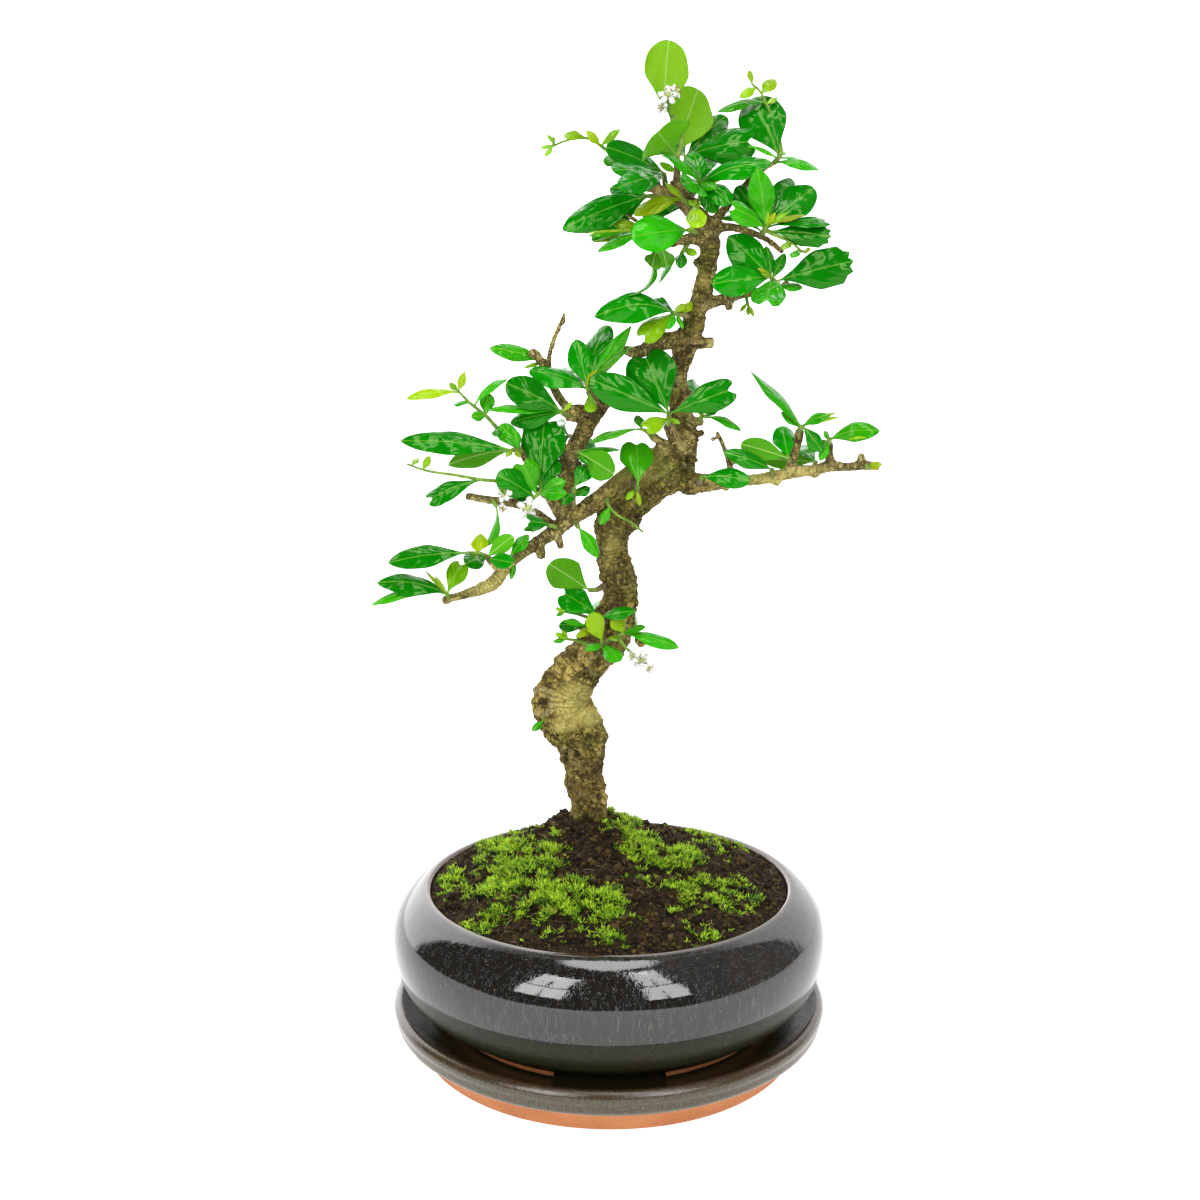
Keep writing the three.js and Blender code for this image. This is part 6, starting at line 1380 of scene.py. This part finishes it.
def step_of(stems, row, vertices):
    """The step in depth that the solids' own leaf took, found from where its apex is."""
    best, chosen = 1e9, 0
    for step in TIP_STEPS:
        leaf = read_leaf(stems, row, step)
        apex = BLADE_APEX[leaf["form"]]
        ends = blade_points(leaf, apex, 0.0, np.array([SOLID_HALF, -SOLID_HALF]))
        distance = max(np.linalg.norm(vertices - end, axis=1).min() for end in ends)
        if distance < best - 1e-3:
            best, chosen = distance, step
    return chosen


def node_points(node):
    """The vertices of one of the solids."""
    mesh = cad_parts[node].data
    points = np.zeros(len(mesh.vertices) * 3, np.float32)
    mesh.vertices.foreach_get("co", points)
    return points.reshape(-1, 3).astype(float) / MM


def add_stems(build, stems):
    for stem in stems:
        path = limb_path(stem, 1.2)
        points, faces = tube(path, 8)
        radii = np.repeat(path[:, 3], 8)
        radii = np.concatenate([radii, [path[0, 3], path[-1, 3]]])
        build.add(points, faces, 2, blade=np.column_stack([radii, radii, radii]), tint=(0.1, 0.2, 0.02))


def add_buds(build, stems, rows, random):
    for row in rows:
        add_leaf(build, read_leaf(stems, row, 0), row[8][1], random, SMALL)


def make_shoots():
    """The solids' shoots with their buds, then the shoots that have bud leaves only."""
    materials = [leaf_material(), leaf_under_material(), stem_material()]
    for number, (name, green, stems, rows) in enumerate(SHOOTS):
        random = np.random.default_rng(100 + number)
        build = Build(blade=3, tint=3)
        add_stems(build, stems)
        vertices = node_points(name)
        for row in rows:
            leaf = read_leaf(stems, row, step_of(stems, row, vertices))
            add_leaf(build, leaf, row[8][1], random, SMALL if leaf["form"] == "s" else FLAT)
        add_buds(build, stems, BUDS.get(name, []), random)
        build.piece(name.replace("shoot_", "leaves_"), materials, f"leaf_{green}", [name])
    for number, (name, stems, rows) in enumerate(BUD_SHOOTS):
        random = np.random.default_rng(200 + number)
        build = Build(blade=3, tint=3)
        add_stems(build, stems)
        add_buds(build, stems, rows, random)
        build.piece(name, materials, "leaf_young", [])


def vein_mask(shader):
    """How much a point lies on the midrib and on a side vein, how far it is from between the veins, and t."""
    blade = shader.value("blade")
    t, s, half = (shader.part(blade, k) for k in range(3))
    across = shader.math("ABSOLUTE", s)
    out = shader.times(across, half)
    rib = shader.ramp(out, 0.036, 0.010)
    phase = shader.times(t, VEINS)
    phase = shader.minus(phase, shader.times(across, VEIN_SWEEP))
    phase = shader.minus(phase, shader.times(shader.times(s, s), VEIN_CURVE))
    phase = shader.plus(phase, shader.times(shader.noise(160), 0.35))
    wave = shader.math("ABSOLUTE", shader.minus(shader.math("FRACT", phase), 0.5))
    side = shader.ramp(wave, 0.460, 0.497)
    side = shader.times(side, shader.ramp(across, 0.97, 0.75))
    wave = shader.times(shader.times(wave, 2.0), shader.ramp(across, 0.04, 0.30))
    return rib, side, wave, t


def leaf_material():
    """A glossy upper side, swollen between its veins."""
    shader = Shader("leaf_upper")
    rib, side, wave, t = vein_mask(shader)
    tint = shader.value("tint")
    cloud = shader.noise(95, 2, 0.5)
    light = shader.mix(1.0, tint, (1.7, 1.30, 1.2), "MULTIPLY")
    color = shader.mix(shader.ramp(cloud, 0.40, 0.70, 0.0, 0.40), tint, light)
    color = shader.mix(shader.times(side, 0.16), color, light)
    pale = shader.mix(0.75, light, (0.16, 0.34, 0.035))
    color = shader.mix(shader.times(rib, 0.60), color, pale)
    color = shader.mix(shader.ramp(t, 0.14, 0.0, 0.0, 0.6), color, (0.16, 0.30, 0.03))
    rough = shader.ramp(shader.noise(130, 2, 0.5), 0.3, 0.75, 0.11, 0.21)
    swell = shader.bump(shader.noise(75, 1.2, 0.5), 0.0075, 0.75)
    puff = shader.minus(1.0, shader.times(wave, wave))
    relief = shader.bump(shader.minus(puff, shader.times(rib, 0.35)), 0.0004, 0.25, swell)
    normal = shader.bump(shader.noise(700, 1), 0.00006, 0.2, relief)
    return shader.surface(color, rough, normal, IOR=1.37, Specular_Tint=(0.74, 1.0, 0.42))


def leaf_under_material():
    """A matte, paler underside with raised veins."""
    shader = Shader("leaf_under")
    rib, side, _, _ = vein_mask(shader)
    tint = shader.value("tint")
    pale = shader.mix(0.30, tint, (0.14, 0.28, 0.008))
    color = shader.mix(shader.ramp(shader.noise(300, 3), 0.35, 0.7, 0.0, 0.12), pale, (0.06, 0.17, 0.012))
    color = shader.mix(shader.times(side, 0.30), color, (0.22, 0.38, 0.07))
    color = shader.mix(shader.times(rib, 0.7), color, (0.30, 0.46, 0.12))
    height = shader.plus(side, shader.times(rib, 1.5))
    normal = shader.bump(height, 0.0002, 0.5, shader.bump(shader.noise(2200), 0.00008, 0.4))
    return shader.surface(color, 0.5, normal, Specular_IOR_Level=0.08)


def stem_material():
    """Green where a stem is thin and brown where it is thick."""
    shader = Shader("stem")
    radius = shader.part(shader.value("blade"), 0)
    cloud = shader.ramp(shader.noise(380, 3), 0.35, 0.68)
    green = shader.mix(cloud, (0.08, 0.17, 0.012), (0.17, 0.29, 0.03))
    brown = shader.mix(cloud, (0.075, 0.05, 0.022), (0.16, 0.12, 0.05))
    color = shader.mix(shader.ramp(radius, 0.85, 1.45), green, brown)
    normal = shader.bump(shader.noise(1500, 4, 0.65), 0.0002, 0.5)
    return shader.surface(color, shader.uneven(900, 0.55, 0.75), normal, Specular_IOR_Level=0.25)


# Soil, moss and flowers

SOIL_TOP = POT_RIM_HEIGHT - 1.6
SOIL_EDGE_RADIUS = POT_MOUTH_RADIUS - 0.15
SOIL_FLOOR = POT_FLOOR + 1.8
SKIRT = [(88.0, 56.0), (89.0, 49.0), (84.5, 38.0), (77.0, 30.5), (68.0, SOIL_FLOOR)]
# Patches of moss as the camera sees them: middle pixel, half width and half height, and how thick it grows
MOSS_PATCHES = [
    (520, 868, 44, 34, 1.0), (560, 905, 70, 24, 1.0), (495, 905, 30, 18, 0.9), (606, 912, 34, 14, 0.9),
    (545, 842, 26, 12, 0.7), (622, 822, 22, 18, 1.0), (668, 860, 38, 13, 1.0), (640, 846, 22, 12, 0.8),
    (455, 890, 18, 22, 0.55), (700, 895, 50, 22, 0.55), (735, 900, 34, 16, 0.5), (690, 935, 40, 12, 0.55),
    (585, 938, 60, 9, 0.6), (720, 845, 40, 16, 0.3), (480, 930, 26, 9, 0.5), (630, 885, 30, 10, 0.35),
]
BANKS = [  # Soil heaped beside the trunk: how far east and north of its foot, how high and how wide
    (-13, 6, 5.5, 10), (-30, 2, 2.6, 9), (14, 9, 3.0, 9), (36, 4, 2.2, 9),
]


def soil_height(x, y):
    """The height of the smooth soil: a dome, a heap at the trunk and the banks beside it."""
    part = np.minimum(np.hypot(x, y) / POT_MOUTH_RADIUS, 1)
    dome = 17 * (1 - part**2) ** 1.15
    heap = 10 * np.exp(-((x - TRUNK_FOOT[0]) ** 2 + (y - TRUNK_FOOT[1]) ** 2) / 560) * (1 - part)
    uneven = 1.1 * np.sin(x / 9 + 1) * np.cos(y / 8 - 0.5) * (1 - part)
    banked = np.zeros(np.shape(x))
    for east, north, high, wide in BANKS:
        away = (x - TRUNK_FOOT[0] - east) ** 2 + (y - TRUNK_FOOT[1] - north) ** 2
        banked = banked + high * np.exp(-away / wide**2)
    return SOIL_TOP + dome + heap + uneven + banked


def rough_height(x, y):
    """The soil's height with its clods and cushions."""
    flat = np.column_stack([x, y, np.zeros(len(x))])
    part = ease(1 - np.hypot(x, y) / SOIL_EDGE_RADIUS, 0, 0.10)
    clods = 1.5 * noise(flat, 7.0, 31) + 1.3 * noise(flat, 3.4, 32) + 0.7 * noise(flat, 1.7, 33)
    hollow = creases(flat, 5.5, 34, 0.16) * 0.7
    return soil_height(x, y) - 0.2 + (clods - hollow) * (0.3 + 0.7 * part) + 1.3 * moss_share(x, y) * part


def moss_share(x, y):
    """How thickly moss grows at points of the soil, from 0 to 1."""
    seen = seen_at(np.column_stack([x, y, soil_height(x, y)]))
    share = np.zeros(len(x))
    for *patch, thick in MOSS_PATCHES:
        share = np.maximum(share, thick * (1 - ease(far_out(seen, *patch), 0.55, 1.25)))
    flat = np.column_stack([x, y, np.zeros(len(x))])
    hidden = 0.62 * ease(noise(flat, 17.0, 41), 0.05, 0.5) * ease(y, 20, 45)
    lumps = 0.8 * noise(flat, 8.5, 42) + 1.1 * noise(flat, 3.6, 43) + 0.7 * noise(flat, 1.9, 44)
    return np.maximum(share, hidden) * ease(lumps, -0.45, 0.55)


def make_soil():
    """The soil's rough top, and a skirt and floor that fill the pot below it."""
    build = Build(ground=3)
    sides, rings = 300, 100
    part = np.linspace(0.004, 1, rings) ** 0.8
    radius, turn = np.meshgrid(SOIL_EDGE_RADIUS * part, 2 * math.pi * np.arange(sides) / sides, indexing="ij")
    x, y = (radius * np.cos(turn)).ravel(), (radius * np.sin(turn)).ravel()
    z = rough_height(x, y)
    top = np.column_stack([x, y, z])
    skirt = np.vstack([np.column_stack([r * np.cos(turn[0]), r * np.sin(turn[0]), np.full(sides, h)])
                       for r, h in SKIRT])
    points = np.vstack([top, skirt, [[0, 0, rough_height(np.zeros(1), np.zeros(1))[0]], [0, 0, SOIL_FLOOR]]])
    count = rings + len(SKIRT)
    middle, bottom, last = count * sides, count * sides + 1, (count - 1) * sides
    caps = np.vstack([fan(middle, 0, sides), fan(bottom, last, sides)[:, [0, 2, 1]]])
    moss = np.zeros(len(points))
    moss[:len(top)] = moss_share(x, y)
    build.add(points, [bands(count, sides), caps], ground=np.column_stack([moss, moss, moss]))
    build.piece("soil_peat", [soil_material()], "soil", ["soil"])


def random_turn(random):
    """A turn about a random axis, as a matrix."""
    q = unit(random.normal(size=4))
    w, x, y, z = q
    return np.array([
        [1 - 2 * (y * y + z * z), 2 * (x * y - z * w), 2 * (x * z + y * w)],
        [2 * (x * y + z * w), 1 - 2 * (x * x + z * z), 2 * (y * z - x * w)],
        [2 * (x * z - y * w), 2 * (y * z + x * w), 1 - 2 * (x * x + y * y)]])


def scattered(random, count):
    """Random places on the soil, clear of the pot's lip."""
    radius = (SOIL_EDGE_RADIUS - 0.4) * np.sqrt(random.random(count))
    turn = random.random(count) * 2 * math.pi
    return radius * np.cos(turn), radius * np.sin(turn)


GOLDEN = 1.618
CRUMB_CORNERS = np.array([
    [0, 1, GOLDEN], [0, -1, GOLDEN], [0, 1, -GOLDEN], [0, -1, -GOLDEN],
    [1, GOLDEN, 0], [-1, GOLDEN, 0], [1, -GOLDEN, 0], [-1, -GOLDEN, 0],
    [GOLDEN, 0, 1], [-GOLDEN, 0, 1], [GOLDEN, 0, -1], [-GOLDEN, 0, -1],
])
CRUMB_FACES = np.array([
    [0, 9, 1], [0, 5, 9], [0, 4, 5], [0, 8, 4], [0, 1, 8], [1, 6, 8], [8, 6, 10], [8, 10, 4], [10, 2, 4],
    [4, 2, 5], [2, 11, 5], [5, 11, 9], [11, 7, 9], [9, 7, 1], [7, 6, 1], [3, 6, 7], [3, 10, 6], [3, 2, 10],
    [3, 11, 2], [3, 7, 11],
])
CRUMBS, FIBRES, MOSS_PLANTS = 8200, 620, 8600


def make_crumbs():
    """Peat crumbs and short fibres that lie loose on the soil."""
    random = np.random.default_rng(7)
    build = Build(ground=3)
    x, y = scattered(random, CRUMBS)
    keep = random.random(len(x)) > moss_share(x, y) * 0.75
    x, y = x[keep], y[keep]
    z = rough_height(x, y)
    sizes = np.clip(random.lognormal(math.log(0.56), 0.55, len(x)), 0.25, 2.2)
    sizes = np.where(np.hypot(x, y) > SOIL_EDGE_RADIUS - 2.5, np.minimum(sizes, 1.0), sizes)
    for px, py, pz, size in zip(x, y, z, sizes):
        uneven = random.uniform(0.5, 1.35, (len(CRUMB_CORNERS), 1))
        shape = unit(CRUMB_CORNERS) * uneven * np.array([1, random.uniform(0.6, 1), random.uniform(0.5, 1)])
        tone = random.random()
        points = shape @ random_turn(random).T * size + [px, py, pz + 0.2 * size]
        build.add(points, CRUMB_FACES, ground=(tone, size / 2, 0))
    fx, fy = scattered(random, FIBRES)
    fz = rough_height(fx, fy)
    for px, py, pz in zip(fx, fy, fz):
        length, turn = random.uniform(2.5, 9), random.uniform(0, 6.3)
        way = np.array([math.cos(turn), math.sin(turn), random.uniform(-0.15, 0.25)]) * length / 2
        bend = random.normal(0, 0.12, 3) * length
        rows = [[*(np.array([px, py, pz + 0.35]) + way * k + bend * (1 - abs(k))), random.uniform(0.10, 0.22)]
                for k in (-1, 0, 1)]
        points, faces = tube(flow(rows, length / 5), 4)
        build.add(points, faces, ground=(random.uniform(0.2, 1.3), 0.1, 1))
    build.piece("soil_crumbs", [crumb_material()], "soil", [])


def moss_plants(random, count):
    """Feet of moss plants, spread by how thickly the moss grows."""
    x, y = scattered(random, count)
    share = moss_share(x, y)
    keep = random.random(count) < share**1.3
    x, y = x[keep], y[keep]
    away = np.hypot(x - TRUNK_FOOT[0], y - TRUNK_FOOT[1]) > 11.0
    x, y = x[away], y[away]
    return np.column_stack([x, y, rough_height(x, y)]), moss_share(x, y)


def make_moss():
    """Little moss plants, each a tuft of pointed leaves."""
    for part in range(2):
        random = np.random.default_rng(50 + part)
        build = Build(ground=3)
        feet, share = moss_plants(random, MOSS_PLANTS)
        spikes = 7
        tetra = np.array([[0, 1, 3], [1, 2, 3], [2, 0, 3]])
        count = len(feet)
        lean = random.normal(0, 1.05, (count, spikes, 2))
        tall = random.uniform(1.2, 2.9, (count, spikes)) * (0.75 + 0.6 * share[:, None])
        tips = np.concatenate([lean * tall[..., None], tall[..., None]], axis=2)
        tips *= (tall / np.maximum(np.linalg.norm(tips, axis=2), 1e-6) * 1.25)[..., None]
        turn = random.uniform(0, 6.3, (count, spikes))
        wide = random.uniform(0.34, 0.62, (count, spikes))
        points = np.zeros((count, spikes, 4, 3))
        for corner in range(3):
            angle = turn + corner * 2 * math.pi / 3
            points[..., corner, 0] = wide * np.cos(angle)
            points[..., corner, 1] = wide * np.sin(angle)
            points[..., corner, 2] = -0.3
            points[..., corner, :] += tips * 0.12
        points[..., 3, :] = tips
        points[..., 2] += 0.5 * share[:, None, None] * random.random((count, 1, 1))
        points += feet[:, None, None, :]
        start = (np.arange(count * spikes) * 4)[:, None, None]
        faces = (start + tetra[None]).reshape(-1, 3)
        tone = np.repeat(random.random(count), spikes * 4)
        height = np.tile([0.0, 0.0, 0.0, 1.0], count * spikes)
        ground = np.column_stack([tone, height, np.repeat(share, spikes * 4)])
        build.add(points.reshape(-1, 3), faces, ground=ground)
        build.piece(f"moss_{part}", [moss_material(part)], "soil", [])


def soil_material():
    shader = Shader("soil_peat")
    moss = shader.part(shader.value("ground"), 0)
    cloud = shader.noise(260, 4, 0.65)
    color = shader.mix(shader.ramp(cloud, 0.38, 0.72), (0.0045, 0.0030, 0.0014), (0.044, 0.027, 0.012))
    color = shader.mix(shader.ramp(shader.noise(900, 2), 0.58, 0.74, 0.0, 0.5), color, (0.085, 0.055, 0.030))
    color = shader.mix(shader.ramp(moss, 0.25, 0.7, 0.0, 0.8), color, (0.020, 0.036, 0.004))
    normal = shader.bump(shader.noise(650, 5, 0.7), 0.0014, 0.8)
    return shader.surface(color, shader.uneven(400, 0.65, 0.95), normal, Specular_IOR_Level=0.12)


def crumb_material():
    shader = Shader("soil_crumbs")
    tone = shader.part(shader.value("ground"), 0)
    color = shader.mix(shader.ramp(tone, 0.0, 1.0), (0.0050, 0.0033, 0.0010), (0.078, 0.050, 0.013))
    color = shader.mix(shader.ramp(tone, 0.90, 1.2), color, (0.24, 0.17, 0.09))
    color = shader.mix(shader.ramp(shader.noise(1200, 3), 0.50, 0.75, 0.0, 0.4), color, (0.070, 0.043, 0.022))
    normal = shader.bump(shader.noise(1600, 4, 0.7), 0.0005, 0.8)
    return shader.surface(color, shader.uneven(500, 0.6, 0.92), normal, Specular_IOR_Level=0.15)


def moss_material(part):
    """Dark at the foot of a plant and bright yellow-green at its tips."""
    shader = Shader(f"moss_{part}")
    ground = shader.value("ground")
    tone, height = shader.part(ground, 0), shader.part(ground, 1)
    fresh = shader.mix(shader.ramp(tone, 0.1, 0.9), (0.140, 0.340, 0.004), (0.600, 0.930, 0.035))
    old = shader.mix(shader.ramp(shader.noise(120, 3), 0.56, 0.74, 0.0, 0.7), fresh, (0.30, 0.30, 0.02))
    color = shader.mix(shader.ramp(height, 0.14, 0.95), (0.008, 0.020, 0.001), old)
    return shader.surface(color, shader.ramp(tone, 0.0, 1.0, 0.45, 0.62), Specular_IOR_Level=0.15)


FLOWERS = [  # The node, and each flower's middle pixel, depth, width and the way that it faces
    ("flowers_top", [((668, 95), -9, 8.6, (0.1, -1, 0.35)), ((662, 107), -8, 5.6, (-0.7, -1, -0.3)),
                     ((676, 91), -7, 6.2, (0.7, -0.8, 0.5))]),
    ("flowers_left", [((528, 508), -17, 10.0, (0.1, -1, -0.2)), ((504, 494), -19, 7.6, (-0.5, -1, 0.4)),
                      ((503, 508), -17, 5.6, (-0.6, -0.8, -0.6))]),
    ("flowers_low", [((641, 660), -6, 9.0, (0.3, -1, -0.3)), ((633, 656), -8, 6.4, (-0.7, -1, 0.3)),
                     ((649, 668), -7, 6.8, (0.6, -1, -0.5))]),
]


def flower_frame(facing):
    axis = unit(facing)
    across = unit(np.cross([0, 0, 1], axis))
    return axis, across, np.cross(axis, across)


def add_flower(build, middle, width, facing, random):
    """Five rounded petals round a short tube, with stamens, a pistil and a green calyx."""
    axis, across, other = flower_frame(facing)
    reach = width / 2
    rows, columns = 9, 8
    a, b = np.meshgrid(np.linspace(0, 1, rows + 1), np.linspace(-1, 1, columns + 1), indexing="ij")
    numbers, below, inner = two_sided(a.shape)
    for petal in range(5):
        turn = 2 * math.pi * (petal + 0.1 * random.normal() + 0.25) / 5
        way = across * math.cos(turn) + other * math.sin(turn)
        side = np.cross(axis, way)
        far = 0.12 + 0.88 * a * (0.50 + 0.50 * np.sqrt(np.maximum(1 - b**2, 0)))
        half = 0.25 * np.sin(math.pi / 2 * np.clip(a, 0, 1) ** 0.9) + 0.07
        lift = 0.08 * np.sin(3.1 * a) - random.uniform(-0.05, 0.35) * a**2 + 0.08 * np.cos(3 * b) * a
        spot = (way * (far * reach)[..., None] + side * (half * b * reach)[..., None]
                + axis * (lift * reach)[..., None])
        full = np.sqrt(np.clip((1 - b**4) * (1 - a**6), 0, 1))[..., None]
        top = middle + spot + axis * 0.10 * full
        under = middle + spot - axis * 0.10 * full
        points = np.vstack([top.reshape(-1, 3), under[inner]])
        value = np.column_stack([np.concatenate([a.ravel(), a[inner]])] * 3)
        build.add(points, [quads(numbers)[:, [0, 3, 2, 1]], quads(below)[:, [1, 2, 3, 0]]], 0, blade=value)
    round_points, round_faces = ball(5, 8)
    build.add(middle + axis * 0.1 + round_points * reach * 0.17, round_faces, 1)
    for stamen in range(5):
        turn = 2 * math.pi * (stamen + 0.7) / 5
        way = across * math.cos(turn) + other * math.sin(turn)
        rows = [middle + way * reach * 0.12, middle + way * reach * 0.25 + axis * reach * 0.25,
                middle + way * reach * 0.40 + axis * reach * 0.42]
        path = flow([[*row, 0.12] for row in rows], 0.6)
        build.add(*tube(path, 5), 0, blade=(0.9, 0.9, 0.9))
        build.add(rows[-1] + round_points * 0.42, round_faces, 2)
    pistil = flow([[*middle, 0.14], [*(middle + axis * reach * 0.55), 0.12]], 1.0)
    build.add(*tube(pistil, 5), 1)
    calyx = flow([[*(middle - axis * reach * 0.62), 0.5], [*(middle - axis * reach * 0.35), 1.0],
                  [*(middle - axis * 0.15), 1.15]], 0.6)
    build.add(*tube(calyx, 8), 1)


def make_flowers():
    materials = [petal_material(), flower_green_material(), anther_material()]
    for number, (node, heads) in enumerate(FLOWERS):
        random = np.random.default_rng(300 + number)
        build = Build(blade=3)
        vertices = node_points(node)
        best = min(TIP_STEPS, key=lambda step: np.linalg.norm(
            vertices - flower_top(heads[0], step), axis=1).min())
        for (px, py), depth, width, facing in heads:
            add_flower(build, place(px, py, depth + best), width, facing, random)
        build.piece(node.replace("flowers_", "blossom_"), materials, "petal", [node])


def flower_top(head, step):
    """The middle of the upper face of the solids' own flower."""
    (px, py), depth, _, facing = head
    return place(px, py, depth + step) + unit(facing) * SOLID_HALF


def petal_material():
    shader = Shader("petal")
    reach = shader.part(shader.value("blade"), 0)
    color = shader.mix(shader.ramp(reach, 0.05, 0.4), (0.34, 0.42, 0.14), (0.60, 0.61, 0.57))
    color = shader.mix(shader.ramp(shader.noise(900, 2), 0.5, 0.75, 0.0, 0.4), color, (0.46, 0.48, 0.42))
    return shader.surface(color, 0.5, shader.bump(shader.noise(1800), 0.0001, 0.4))


def flower_green_material():
    shader = Shader("flower_green")
    color = shader.mix(shader.ramp(shader.noise(900), 0.35, 0.65), (0.26, 0.44, 0.04), (0.50, 0.62, 0.12))
    return shader.surface(color, 0.5, shader.bump(shader.noise(1500), 0.0001, 0.4))


def anther_material():
    shader = Shader("anther")
    color = shader.mix(shader.ramp(shader.noise(1500), 0.35, 0.65), (0.16, 0.08, 0.025), (0.34, 0.19, 0.06))
    return shader.surface(color, 0.7, shader.bump(shader.noise(2500), 0.0001, 0.5))


bpy.context.scene.view_settings.view_transform = "Standard"
make_camera()
make_world()
make_windows()
make_floor()
make_saucer()
make_pot()
paint_drain_mesh()
make_soil()
make_crumbs()
make_moss()
make_wood()
make_shoots()
make_flowers()
